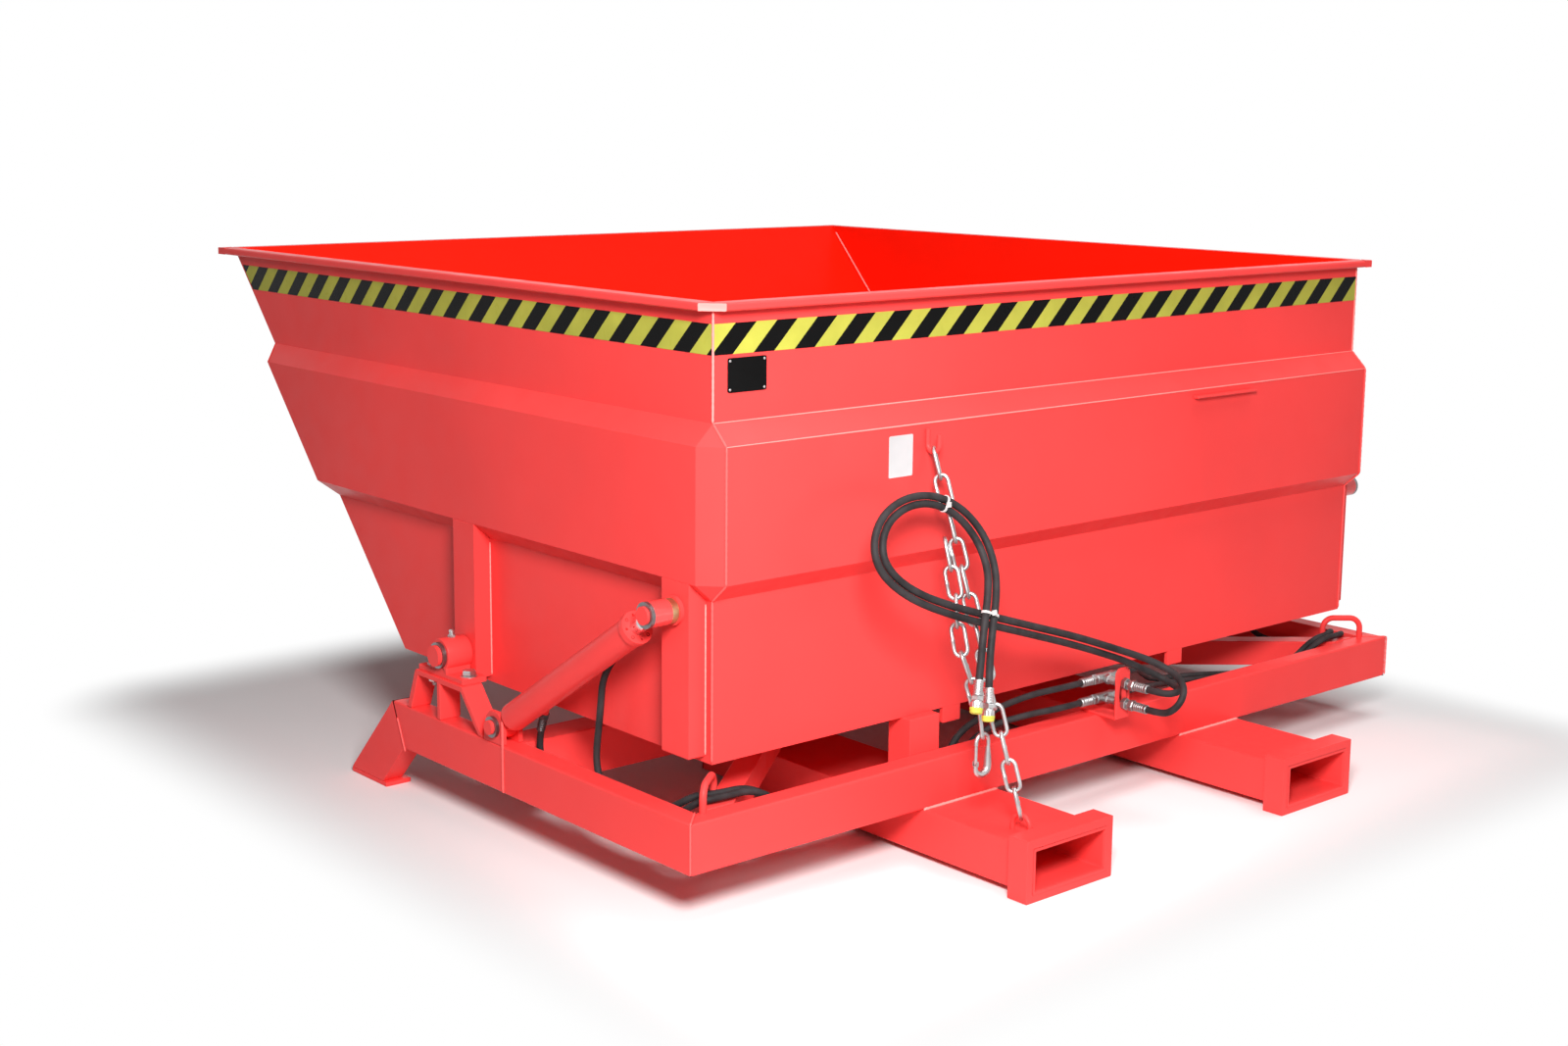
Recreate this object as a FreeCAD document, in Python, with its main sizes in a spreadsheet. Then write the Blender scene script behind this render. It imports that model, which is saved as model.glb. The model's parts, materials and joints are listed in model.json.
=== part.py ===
"""Hydraulic tipping skip on a fork pocket frame, modelled as an assembly.

Axes: X across the width, +Y the side the skip tips to, +Z up, millimetres.
The origin lies on the ground under the middle of the overall box.
"""
import FreeCAD
import Part
import Sketcher
import math
import os

V = FreeCAD.Vector
doc = FreeCAD.newDocument("TippingSkip")

# Driving sizes in millimetres (angles in degrees), one cell each.
SIZES = [
    # hopper
    ("hopper_width", 2000.0),
    ("hopper_height", 865.0),
    ("floor_depth", 1106.0),
    ("top_depth", 1890.0),
    ("floor_height", 282.0),
    ("sheet", 5.0),
    ("bead_depth", 40.0),
    ("bead_start", 313.0),
    ("bead_low_bevel", 35.0),
    ("bead_flat", 257.0),
    ("bead_top_bevel", 39.0),
    ("rim_width", 30.0),
    ("rim_thickness", 16.0),
    ("rim_chamfer", 38.0),
    ("rim_round", 5.0),
    ("rib_width", 82.0),
    ("rib_sheet", 6.0),
    ("rib_lift", 12.0),
    # tipping pivot, cylinder pins (from the hopper's rear face and floor)
    ("pivot_reach", 788.0),
    ("pivot_rise", 67.0),
    ("pivot_radius", 22.5),
    ("pivot_overhang", 9.0),
    ("pivot_ring_radius", 28.0),
    ("ring_thickness", 8.0),
    ("ring_step", 5.0),
    ("lower_pin_reach", 575.0),
    ("lower_pin_drop", 39.0),
    ("lower_pin_radius", 15.0),
    ("lower_ring_radius", 22.0),
    ("upper_pin_reach", 60.0),
    ("upper_pin_rise", 292.0),
    ("upper_pin_radius", 17.5),
    ("upper_ring_radius", 25.0),
    ("boss_radius", 28.0),
    ("boss_length", 8.0),
    ("washer_radius", 24.0),
    # frame
    ("frame_width", 2217.0),
    ("rail_width", 50.0),
    ("rail_height", 100.0),
    ("rail_wall", 5.0),
    ("rail_overhang", 73.0),
    ("rail_front", 981.0),
    ("foot_angle", 46.5),
    ("foot_plate", 10.0),
    ("foot_plate_lip", 14.0),
    ("cross_reach", 533.0),
    ("cross_width", 80.0),
    ("brace_width", 50.0),
    ("brace_height", 60.0),
    ("brace_rear", 1004.0),
    ("brace_front", 330.0),
    # fork pockets
    ("pocket_spacing", 808.0),
    ("pocket_width", 212.0),
    ("pocket_height", 93.0),
    ("pocket_wall", 6.0),
    ("pocket_lift", 15.0),
    ("pocket_reach", 369.0),
    ("pocket_front", 640.0),
    ("collar_length", 50.0),
    ("collar_bar", 18.0),
    # bearing trestles
    ("trestle_top", 92.0),
    ("trestle_length", 186.0),
    ("trestle_plate", 12.0),
    ("trestle_leg", 16.0),
    ("trestle_lean_front", 36.0),
    ("trestle_lean_rear", 78.0),
    ("bearing_base_length", 176.0),
    ("bearing_base", 12.0),
    ("bearing_saddle", 50.0),
    ("bearing_length", 60.0),
    ("bearing_radius", 35.0),
    ("bearing_gap", 3.0),
    # cylinder lugs, lower pins
    ("lug_plate", 10.0),
    ("lug_width", 80.0),
    ("lug_round", 32.0),
    ("lower_pin_overhang", 12.0),
    # hydraulic cylinders
    ("barrel_radius", 30.0),
    ("barrel_bore", 25.0),
    ("barrel_start", 46.0),
    ("barrel_cap", 14.0),
    ("barrel_end", 529.0),
    ("barrel_eye_radius", 27.0),
    ("barrel_neck", 40.0),
    ("gland_radius", 33.0),
    ("gland_flange", 14.0),
    ("gland_spigot", 30.0),
    ("rod_radius", 16.0),
    ("rod_start", 85.0),
    ("piston_length", 34.0),
    ("rod_eye_radius", 25.0),
    ("rod_eye_length", 40.0),
    ("upper_pin_overhang", 6.0),
    ("port_radius", 12.0),
    ("port_length", 24.0),
    ("port_low", 110.0),
    ("port_high", 500.0),
    ("stem_radius", 8.5),
    ("stem_length", 30.0),
    ("stem_turn", 143.0),
    ("stem_set", 2.0),
    # small fittings
    ("post_width", 84.0),
    ("post_depth", 63.0),
    ("post_seat", 50.0),
    ("post_place", 463.0),
    ("tab_width", 52.0),
    ("tab_drop", 34.0),
    ("tab_plate", 10.0),
    ("tab_place", 363.0),
    ("eye_bar", 7.0),
    ("eye_height", 50.0),
    ("eye_outer_place", 1048.0),
    ("eye_inner_place", 976.0),
    ("eye_outer_back", 34.0),
    ("eye_inner_back", 24.0),
    ("eye_bend", 26.0),
    ("strip_place", 444.0),
    ("strip_length", 213.0),
    ("strip_height", 6.0),
    ("strip_depth", 16.0),
    ("strip_rise", 586.0),
    ("chain_eye_place", 455.0),
    ("chain_eye_span", 46.0),
    ("chain_eye_back", 262.0),
    ("chain_eye_height", 34.0),
    ("chain_eye_bar", 5.0),
    ("hook_place", 494.0),
    ("hook_bar", 5.0),
    ("hook_rise", 566.0),
    ("hook_span", 32.0),
    ("hook_leg", 28.0),
    ("hook_tip", 20.0),
    ("link_bar", 4.0),
    ("link_inner_width", 12.0),
    ("tail_pitch", 56.0),
    ("snap_bar", 4.0),
    ("snap_half_width", 17.0),
    ("snap_half_length", 24.0),
    ("snap_hinge", 14.0),
    ("snap_nose", 20.0),
    ("snap_end_gap", 1.5),
    ("snap_nose_gap", 0.6),
    ("gate_bar", 3.4),
    ("snap_pin", 1.6),
    ("snap_ear", 1.6),
    ("snap_ear_gap", 0.4),
    ("snap_ear_half", 3.4),
    ("snap_yoke", 3.5),
    ("hose_radius", 7.5),
    ("line_radius", 7.0),
    ("bulk_place", 12.0),
    ("bulk_width", 44.0),
    ("bulk_plate", 6.0),
    ("bulk_outer", 124.0),
    ("bulk_rise", 112.0),
    ("bulk_chamfer", 10.0),
    ("union_place", 35.0),
    ("union_high", -4.0),
    ("union_low", 40.0),
    ("union_radius", 9.0),
    ("union_nut", 13.0),
    ("union_nut_length", 12.0),
    ("union_reach", 53.0),
    ("union_tail", 26.0),
    ("tee_radius", 11.0),
    ("tee_half", 26.0),
    ("line_ferrule", 46.0),
    ("hose_ferrule", 46.0),
    ("ferrule_radius", 10.0),
    ("ferrule_length", 30.0),
    ("coupler_radius", 12.5),
    ("coupler_length", 26.0),
    ("cap_radius", 14.0),
    ("cap_length", 13.0),
    ("tie_width", 5.0),
    ("tie_thickness", 1.6),
    # general
    ("run_fit", 0.05),
    ("gap", 0.3),
    ("overrun", 20.0),
]


class Size:
    """A number together with the sheet expression that gives it."""

    def __init__(self, text, value):
        self.text = text
        self.value = value

    def __add__(self, other):
        return join(self, "+", other, self.value + plain(other))

    def __radd__(self, other):
        return join(other, "+", self, plain(other) + self.value)

    def __sub__(self, other):
        return join(self, "-", other, self.value - plain(other))

    def __rsub__(self, other):
        return join(other, "-", self, plain(other) - self.value)

    def __mul__(self, other):
        return join(self, "*", other, self.value * plain(other))

    def __rmul__(self, other):
        return join(other, "*", self, plain(other) * self.value)

    def __truediv__(self, other):
        return join(self, "/", other, self.value / plain(other))

    def __neg__(self):
        return Size("(-%s)" % self.text, -self.value)


def plain(value):
    return value.value if isinstance(value, Size) else float(value)


def words(value):
    return value.text if isinstance(value, Size) else repr(float(value))


def join(left, sign, right, value):
    return Size("(%s %s %s)" % (words(left), sign, words(right)), value)


def root(value):
    return Size("sqrt(%s)" % value.text, math.sqrt(value.value))


def tangent(angle):
    return Size("tan(%s * 1deg)" % angle.text, math.tan(math.radians(angle.value)))


class Named:
    """Every size of the sheet as an attribute."""


sheet = doc.addObject("Spreadsheet::Sheet", "Sizes")
d = Named()
for row, (alias, number) in enumerate(SIZES, start=1):
    sheet.set("A%d" % row, alias)
    sheet.set("B%d" % row, repr(number))
    sheet.setAlias("B%d" % row, alias)
    setattr(d, alias, Size("Sizes.%s" % alias, number))
doc.recompute()

nodes = []


def bind(obj, prop, value):
    """Binds a property to the sheet."""
    if isinstance(value, Size):
        obj.setExpression(prop, value.text)


def at(obj, x, y, z):
    obj.Placement.Base = V(plain(x), plain(y), plain(z))
    bind(obj, "Placement.Base.x", x)
    bind(obj, "Placement.Base.y", y)
    bind(obj, "Placement.Base.z", z)
    return obj


def box(name, x, y, z, dx, dy, dz):
    obj = doc.addObject("Part::Box", name)
    obj.Length = plain(dx)
    obj.Width = plain(dy)
    obj.Height = plain(dz)
    bind(obj, "Length", dx)
    bind(obj, "Width", dy)
    bind(obj, "Height", dz)
    return at(obj, x, y, z)


TURN_X = FreeCAD.Rotation(V(0, 1, 0), 90)
TURN_Y = FreeCAD.Rotation(V(1, 0, 0), -90)


def cylinder(name, radius, length, x, y, z, turn=None):
    obj = doc.addObject("Part::Cylinder", name)
    obj.Radius = plain(radius)
    obj.Height = plain(length)
    bind(obj, "Radius", radius)
    bind(obj, "Height", length)
    if turn is not None:
        obj.Placement.Rotation = turn
    return at(obj, x, y, z)


def cut(name, base, tool):
    obj = doc.addObject("Part::Cut", name)
    obj.Base = base
    obj.Tool = tool
    return obj


def fuse(name, shapes):
    obj = doc.addObject("Part::MultiFuse", name)
    obj.Shapes = shapes
    obj.Refine = True
    return obj


def mirror(name, source):
    obj = doc.addObject("Part::Mirroring", name)
    obj.Source = source
    obj.Base = V(0, 0, 0)
    obj.Normal = V(1, 0, 0)
    return obj


def outline(sketch, points):
    """Draws a closed polygon whose corners are bound to the sheet."""
    corners = [V(plain(u), plain(v), 0) for u, v in points]
    count = len(corners)
    for i in range(count):
        sketch.addGeometry(Part.LineSegment(corners[i], corners[(i + 1) % count]), False)
    for i in range(count):
        sketch.addConstraint(Sketcher.Constraint("Coincident", i, 2, (i + 1) % count, 1))
    for i, pair in enumerate(points):
        for kind, value in zip(("DistanceX", "DistanceY"), pair):
            k = sketch.addConstraint(Sketcher.Constraint(kind, -1, 1, i, 1, plain(value)))
            bind(sketch, "Constraints[%d]" % k, value)


def pad(name, plane, points, start, depth):
    """A body with one sketch on an origin plane, padded along its normal."""
    body = doc.addObject("PartDesign::Body", name)
    support = [f for f in body.Origin.OriginFeatures if f.Role == plane][0]
    sketch = body.newObject("Sketcher::SketchObject", name + "_sketch")
    sketch.AttachmentSupport = [(support, "")]
    sketch.MapMode = "FlatFace"
    sketch.AttachmentOffset = FreeCAD.Placement(V(0, 0, plain(start)), FreeCAD.Rotation())
    bind(sketch, "AttachmentOffset.Base.z", start)
    outline(sketch, points)
    block = body.newObject("PartDesign::Pad", name + "_pad")
    block.Profile = sketch
    block.Length = plain(depth)
    bind(block, "Length", depth)
    body.Tip = block
    return body


def feature(name, shape):
    obj = doc.addObject("Part::Feature", name)
    obj.Shape = shape
    return obj


def node(obj, label):
    obj.Label = label
    nodes.append(obj)
    return obj


def both(obj, label):
    """One node that holds a left hand piece and its mirror image."""
    group = doc.addObject("Part::Compound", label + "_both")
    group.Links = [obj, mirror(label + "_mirrored", obj)]
    return node(group, label)


def pair(obj, stem):
    """Takes a left hand piece and adds its mirror image."""
    node(obj, stem + "_left")
    return node(mirror(stem + "_mirrored", obj), stem + "_right")


# Reference places that several pieces share.
rear = (d.pocket_reach - d.top_depth - d.rim_width) / 2
half = d.hopper_width / 2
side = d.frame_width / 2
floor = d.floor_height
rail_base = d.pocket_lift + d.pocket_height
rail_top = rail_base + d.rail_height
slope = (d.top_depth - d.floor_depth) / d.hopper_height
front_sheet = d.sheet * root(slope * slope + 1)
pivot_y = rear + d.pivot_reach
pivot_z = floor + d.pivot_rise
low_y = rear + d.lower_pin_reach
low_z = floor - d.lower_pin_drop
high_y = rear + d.upper_pin_reach
high_z = floor + d.upper_pin_rise
plane_x = side - d.rail_width / 2
rib_face = half + d.bead_depth


# Hopper: sheet walls with an outward bead and chamfered corner posts.
def faceted(rings):
    """A closed solid through rings of corners; equal corners merge."""
    faces = []

    def add(corners):
        kept = [p for i, p in enumerate(corners) if (p - corners[i - 1]).Length > d.run_fit.value]
        if len(kept) > 2:
            faces.append(Part.Face(Part.makePolygon(kept + [kept[0]])))

    for low, high in zip(rings, rings[1:]):
        count = len(low)
        for i in range(count):
            j = (i + 1) % count
            add([low[i], low[j], high[j], high[i]])
    add(list(reversed(rings[0])))
    add(rings[-1])
    return Part.Solid(Part.makeShell(faces))


def hopper_ring(z, inset, front_inset, swell):
    """The eight corners of the hopper's level section at a height."""
    x = half.value - inset
    back = rear.value + inset
    front = rear.value + d.floor_depth.value + slope.value * z - front_inset
    level = floor.value + z
    return [
        V(-x - swell, back, level),
        V(-x, back - swell, level),
        V(x, back - swell, level),
        V(x + swell, back, level),
        V(x + swell, front, level),
        V(x, front + swell, level),
        V(-x, front + swell, level),
        V(-x - swell, front, level),
    ]


bead_levels = [
    (d.bead_start, 0),
    (d.bead_start + d.bead_low_bevel, d.bead_depth),
    (d.bead_start + d.bead_low_bevel + d.bead_flat, d.bead_depth),
    (d.bead_start + d.bead_low_bevel + d.bead_flat + d.bead_top_bevel, 0),
]


def hopper_block(low, high, inset, front_inset):
    levels = [(low, 0)] + [(plain(z), plain(s)) for z, s in bead_levels] + [(high, 0)]
    return faceted([hopper_ring(z, inset, front_inset, s) for z, s in levels])


outer_block = hopper_block(0, d.hopper_height.value, 0, 0)
inner_block = hopper_block(
    d.sheet.value, d.hopper_height.value + d.overrun.value, d.sheet.value, front_sheet.value
)
hopper_shell = outer_block.cut(inner_block)


def slab(points, half_width):
    """A prism across the width over an outline in the side view."""
    wire = Part.makePolygon([V(-half_width, y, z) for y, z in points + points[:1]])
    return Part.Face(wire).extrude(V(2 * half_width, 0, 0))


wide = half.value + d.bead_depth.value + d.overrun.value
low_z_in = floor.value + d.sheet.value
top_z = floor.value + d.hopper_height.value
back_out = rear.value - d.bead_depth.value - d.overrun.value
back_in = rear.value + d.sheet.value


def front_in(z):
    return rear.value + d.floor_depth.value + slope.value * (z - floor.value) - front_sheet.value


far = rear.value + d.top_depth.value + d.bead_depth.value + d.overrun.value
floor_zone = slab(
    [(back_out, floor.value), (far, floor.value), (far, low_z_in), (back_out, low_z_in)], wide
)
rear_zone = slab(
    [(back_out, low_z_in), (back_in, low_z_in), (back_in, top_z), (back_out, top_z)], wide
)
front_zone = slab(
    [(front_in(low_z_in), low_z_in), (far, low_z_in), (far, top_z), (front_in(top_z), top_z)],
    wide,
)
side_zone = slab(
    [(back_in, low_z_in), (front_in(low_z_in), low_z_in), (front_in(top_z), top_z), (back_in, top_z)],
    wide,
)
left_zone = side_zone.common(
    Part.makeBox(wide, far - back_out, top_z, V(-wide, back_out, 0))
)
node(feature("hopper_floor", hopper_shell.common(floor_zone)), "hopper_floor")
node(feature("hopper_wall_rear", hopper_shell.common(rear_zone)), "hopper_wall_rear")
node(feature("hopper_wall_front", hopper_shell.common(front_zone)), "hopper_wall_front")
pair(feature("hopper_wall_side", hopper_shell.common(left_zone)), "hopper_wall")

# Rim: a bar welded round the outside of the walls, with chamfered corners.
rim_low = top_z - d.rim_thickness.value
rim_x = half.value + d.rim_width.value
rim_back = rear.value - d.rim_width.value
rim_front = rear.value + d.top_depth.value + d.rim_width.value
c = d.rim_chamfer.value
rim_corners = [
    V(-rim_x, rim_back + c, rim_low),
    V(-rim_x + c, rim_back, rim_low),
    V(rim_x - c, rim_back, rim_low),
    V(rim_x, rim_back + c, rim_low),
    V(rim_x, rim_front - c, rim_low),
    V(rim_x - c, rim_front, rim_low),
    V(-rim_x + c, rim_front, rim_low),
    V(-rim_x, rim_front - c, rim_low),
]
rim_plate = Part.Face(Part.makePolygon(rim_corners + rim_corners[:1])).extrude(
    V(0, 0, d.rim_thickness.value)
)
rim_edges = [
    e for e in rim_plate.Edges if abs(e.Vertexes[0].Z - e.Vertexes[1].Z) < d.run_fit.value
]
rim_plate = rim_plate.makeFillet(d.rim_round.value, rim_edges)
rim_core = faceted(
    [
        hopper_ring(d.hopper_height.value - d.rim_thickness.value - d.overrun.value, 0, 0, 0),
        hopper_ring(d.hopper_height.value + d.overrun.value, 0, 0, 0),
    ]
)
node(feature("hopper_rim", rim_plate.cut(rim_core)), "hopper_rim")


# Ribs: channels on the lower side panels, flush with the bead.
def rib(name, middle):
    y = rear + middle - d.rib_width / 2
    z = floor + d.rib_lift
    height = d.bead_start + d.bead_low_bevel - d.rib_lift
    shell = box(name + "_outer", -rib_face, y, z, d.bead_depth, d.rib_width, height)
    hollow = box(
        name + "_hollow",
        -rib_face + d.rib_sheet,
        y + d.rib_sheet,
        z + d.rib_sheet,
        d.bead_depth,
        d.rib_width - d.rib_sheet * 2,
        height,
    )
    channel = cut(name + "_channel", shell, hollow)
    wall = feature(name + "_wall", outer_block)
    return cut(name, channel, wall)


both(rib("rib_front", d.pivot_reach), "ribs_front")
both(rib("rib_rear", d.upper_pin_reach), "ribs_rear")

# Tipping pins, welded to the front ribs, with a retaining ring outside the bearing.
bearing_out = rib_face + d.bearing_gap + d.bearing_length
pin_end = bearing_out + d.ring_thickness + d.gap + d.pivot_overhang
both(
    cylinder("pivot_pin", d.pivot_radius, pin_end - rib_face, -pin_end, pivot_y, pivot_z, TURN_X),
    "pivot_pins",
)


def ring(name, outer, inner, thickness, x, y, z):
    disc = cylinder(name + "_disc", outer, thickness, x, y, z, TURN_X)
    hole = cylinder(name + "_hole", inner, thickness + d.overrun, x - d.overrun / 2, y, z, TURN_X)
    return cut(name, disc, hole)


both(
    ring(
        "pivot_ring",
        d.pivot_ring_radius,
        d.pivot_radius + d.run_fit,
        d.ring_thickness,
        -bearing_out - d.gap - d.ring_thickness,
        pivot_y,
        pivot_z,
    ),
    "pivot_rings",
)

# Bosses on the rear ribs that the upper cylinder pins meet.
both(
    cylinder(
        "pin_boss", d.boss_radius, d.boss_length, -rib_face - d.boss_length, high_y, high_z, TURN_X
    ),
    "pin_bosses",
)

# Locating tabs under the rear edge of the hopper.
both(
    box(
        "rest_tab",
        -d.tab_place - d.tab_width / 2,
        rear,
        floor - d.tab_drop,
        d.tab_width,
        d.tab_plate,
        d.tab_drop,
    ),
    "rest_tabs",
)
node(
    box(
        "lug_strip",
        d.strip_place - d.strip_length / 2,
        rear - d.bead_depth - d.strip_depth,
        floor + d.strip_rise,
        d.strip_length,
        d.strip_depth,
        d.strip_height,
    ),
    "lug_strip",
)

# Frame: mitred box section rails.
mitre = d.rail_height * tangent(d.foot_angle / 2)
rail_back = rear - d.rail_overhang
rail_nose = rear + d.rail_front
rail_block = pad(
    "rail_block",
    "YZ_Plane",
    [
        (rail_back, rail_base),
        (rail_nose - mitre, rail_base),
        (rail_nose, rail_top),
        (rail_back, rail_top),
    ],
    -side,
    d.rail_width,
)
rail_hollow = box(
    "rail_hollow",
    -side + d.rail_wall,
    rail_back - d.overrun,
    rail_base + d.rail_wall,
    d.rail_width - d.rail_wall * 2,
    d.rail_front + d.rail_overhang + d.overrun * 2,
    d.rail_height - d.rail_wall * 2,
)
rail_mitre = pad(
    "rail_mitre",
    "XY_Plane",
    [
        (-side, rail_back),
        (-side - d.overrun, rail_back - d.overrun),
        (-side + d.rail_width + d.overrun, rail_back - d.overrun),
        (-side + d.rail_width + d.overrun, rail_back + d.rail_width + d.overrun),
    ],
    rail_base - d.overrun,
    d.rail_height + d.overrun * 2,
)
rail_tube = cut("rail_tube", rail_block, rail_hollow)
pair(cut("side_rail", rail_tube, rail_mitre), "side_rail")
rear_block = pad(
    "rear_block",
    "XY_Plane",
    [
        (-side, rail_back),
        (side, rail_back),
        (side - d.rail_width, rail_back + d.rail_width),
        (-side + d.rail_width, rail_back + d.rail_width),
    ],
    rail_base,
    d.rail_height,
)
rear_hollow = box(
    "rear_hollow",
    -side - d.overrun,
    rail_back + d.rail_wall,
    rail_base + d.rail_wall,
    d.frame_width + d.overrun * 2,
    d.rail_width - d.rail_wall * 2,
    d.rail_height - d.rail_wall * 2,
)
node(cut("rear_rail_tube", rear_block, rear_hollow), "rear_rail")


def tube_x(name, half_span, y, z, width, height, wall):
    block = box(name + "_block", -half_span, y, z, half_span * 2, width, height)
    bore = box(
        name + "_bore",
        -half_span - d.overrun,
        y + wall,
        z + wall,
        half_span * 2 + d.overrun * 2,
        width - wall * 2,
        height - wall * 2,
    )
    return cut(name, block, bore)


cross_back = rear + d.cross_reach
node(
    tube_x(
        "cross_tube",
        side - d.rail_width,
        cross_back,
        rail_base,
        d.cross_width,
        d.rail_height,
        d.rail_wall,
    ),
    "cross_member",
)

# Diagonal braces from the rear rail to the cross member.
brace_dy = cross_back - rail_back - d.rail_width
brace_dx = d.brace_rear - d.brace_front
brace_half = d.brace_width / 2 * root(brace_dx * brace_dx + brace_dy * brace_dy) / brace_dy
brace_from = rail_back + d.rail_width
both(
    pad(
        "brace",
        "XY_Plane",
        [
            (-d.brace_rear - brace_half, brace_from),
            (-d.brace_rear + brace_half, brace_from),
            (-d.brace_front + brace_half, cross_back),
            (-d.brace_front - brace_half, cross_back),
        ],
        rail_top - d.brace_height,
        d.brace_height,
    ),
    "braces",
)

# Slanted front feet with base plates.
foot_run = (rail_base - d.foot_plate) / tangent(d.foot_angle)
foot_back = rail_nose - mitre
foot_reach = (rail_top - d.foot_plate) / tangent(d.foot_angle)
foot_block = pad(
    "foot_block",
    "YZ_Plane",
    [
        (foot_back, rail_base),
        (foot_back + foot_run, d.foot_plate),
        (rail_nose + foot_reach, d.foot_plate),
        (rail_nose, rail_top),
    ],
    -side,
    d.rail_width,
)
inner_low = rail_base + d.rail_wall
inner_high = rail_top - d.rail_wall
mitre_low = d.rail_wall * tangent(d.foot_angle / 2)
foot_hollow = pad(
    "foot_hollow",
    "YZ_Plane",
    [
        (foot_back + mitre_low - d.overrun, inner_low),
        (foot_back + mitre_low, inner_low),
        (foot_back + mitre_low + (inner_low - d.foot_plate + d.overrun) / tangent(d.foot_angle),
         d.foot_plate - d.overrun),
        (rail_nose - mitre_low + (inner_high - d.foot_plate + d.overrun) / tangent(d.foot_angle),
         d.foot_plate - d.overrun),
        (rail_nose - mitre_low, inner_high),
        (rail_nose - mitre_low - d.overrun, inner_high),
    ],
    -side + d.rail_wall,
    d.rail_width - d.rail_wall * 2,
)
both(cut("foot_tube", foot_block, foot_hollow), "feet")
both(
    box(
        "foot_plate_box",
        -side,
        foot_back + foot_run - d.foot_plate_lip,
        0,
        d.rail_width + d.foot_plate_lip,
        rail_nose + foot_reach - foot_back - foot_run + d.foot_plate_lip,
        d.foot_plate,
    ),
    "foot_plates",
)

# Fork pockets with collar bars at the mouth.
pocket_x = -d.pocket_spacing / 2 - d.pocket_width / 2
pocket_rear = rear - d.pocket_reach
pocket_length = d.pocket_reach + d.pocket_front
pocket_block = box(
    "pocket_block", pocket_x, pocket_rear, d.pocket_lift, d.pocket_width, pocket_length, d.pocket_height
)
pocket_bore = box(
    "pocket_bore",
    pocket_x + d.pocket_wall,
    pocket_rear - d.overrun,
    d.pocket_lift + d.pocket_wall,
    d.pocket_width - d.pocket_wall * 2,
    pocket_length + d.overrun * 2,
    d.pocket_height - d.pocket_wall * 2,
)
pair(cut("fork_pocket", pocket_block, pocket_bore), "fork_pocket")
collar_block = box(
    "collar_block",
    pocket_x - d.collar_bar,
    pocket_rear,
    0,
    d.pocket_width + d.collar_bar * 2,
    d.collar_length,
    d.pocket_lift + d.pocket_height + d.collar_bar,
)
collar_hole = box(
    "collar_hole",
    pocket_x,
    pocket_rear - d.overrun,
    d.pocket_lift,
    d.pocket_width,
    d.collar_length + d.overrun * 2,
    d.pocket_height,
)
both(cut("pocket_collar", collar_block, collar_hole), "pocket_collars")

# Trestles that carry the tipping bearings.
bed = rail_top + d.trestle_top
t_front = pivot_y + d.trestle_length / 2
t_rear = pivot_y - d.trestle_length / 2
lean_front = d.trestle_lean_front * d.trestle_plate / d.trestle_top
lean_rear = d.trestle_lean_rear * d.trestle_plate / d.trestle_top
strap = pad(
    "trestle_strap",
    "YZ_Plane",
    [
        (t_rear - d.trestle_lean_rear, rail_top),
        (t_rear - d.trestle_lean_rear + d.trestle_leg, rail_top),
        (t_rear - lean_rear + d.trestle_leg, bed - d.trestle_plate),
        (t_front + lean_front - d.trestle_leg, bed - d.trestle_plate),
        (t_front + d.trestle_lean_front - d.trestle_leg, rail_top),
        (t_front + d.trestle_lean_front, rail_top),
        (t_front, bed),
        (t_rear, bed),
    ],
    -side,
    d.rail_width,
)
upright = box(
    "trestle_upright",
    -side,
    pivot_y - d.trestle_plate / 2,
    rail_top,
    d.rail_width,
    d.trestle_plate,
    d.trestle_top - d.trestle_plate,
)
both(fuse("trestle", [strap, upright]), "trestles")

# Pillow block bearings.
base_x = -bearing_out
block_base = box(
    "bearing_foot",
    base_x,
    pivot_y - d.bearing_base_length / 2,
    bed,
    d.bearing_length,
    d.bearing_base_length,
    d.bearing_base,
)
block_saddle = box(
    "bearing_block",
    base_x,
    pivot_y - d.bearing_saddle / 2,
    bed,
    d.bearing_length,
    d.bearing_saddle,
    pivot_z - bed,
)
block_round = cylinder(
    "bearing_round", d.bearing_radius, d.bearing_length, base_x, pivot_y, pivot_z, TURN_X
)
block_all = fuse("bearing_solid", [block_base, block_saddle, block_round])
block_bore = cylinder(
    "bearing_bore",
    d.pivot_radius + d.run_fit,
    d.bearing_length + d.overrun * 2,
    base_x - d.overrun,
    pivot_y,
    pivot_z,
    TURN_X,
)
pair(cut("bearing", block_all, block_bore), "bearing")

# Lug plates of the lower cylinder pins.
lug_tip = low_z + d.lug_round


def lug(name, x):
    plate = pad(
        name + "_plate",
        "YZ_Plane",
        [
            (low_y - d.lug_round, rail_top),
            (low_y + d.lug_width / 2, rail_top),
            (low_y + d.lug_round, low_z + d.lug_round / 2),
            (low_y + d.lug_round / 2, lug_tip),
            (low_y - d.lug_round / 2, lug_tip),
            (low_y - d.lug_round, low_z + d.lug_round / 2),
        ],
        x,
        d.lug_plate,
    )
    hole = cylinder(
        name + "_hole",
        d.lower_pin_radius + d.run_fit,
        d.lug_plate + d.overrun * 2,
        x - d.overrun,
        low_y,
        low_z,
        TURN_X,
    )
    return cut(name, plate, hole)


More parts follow.
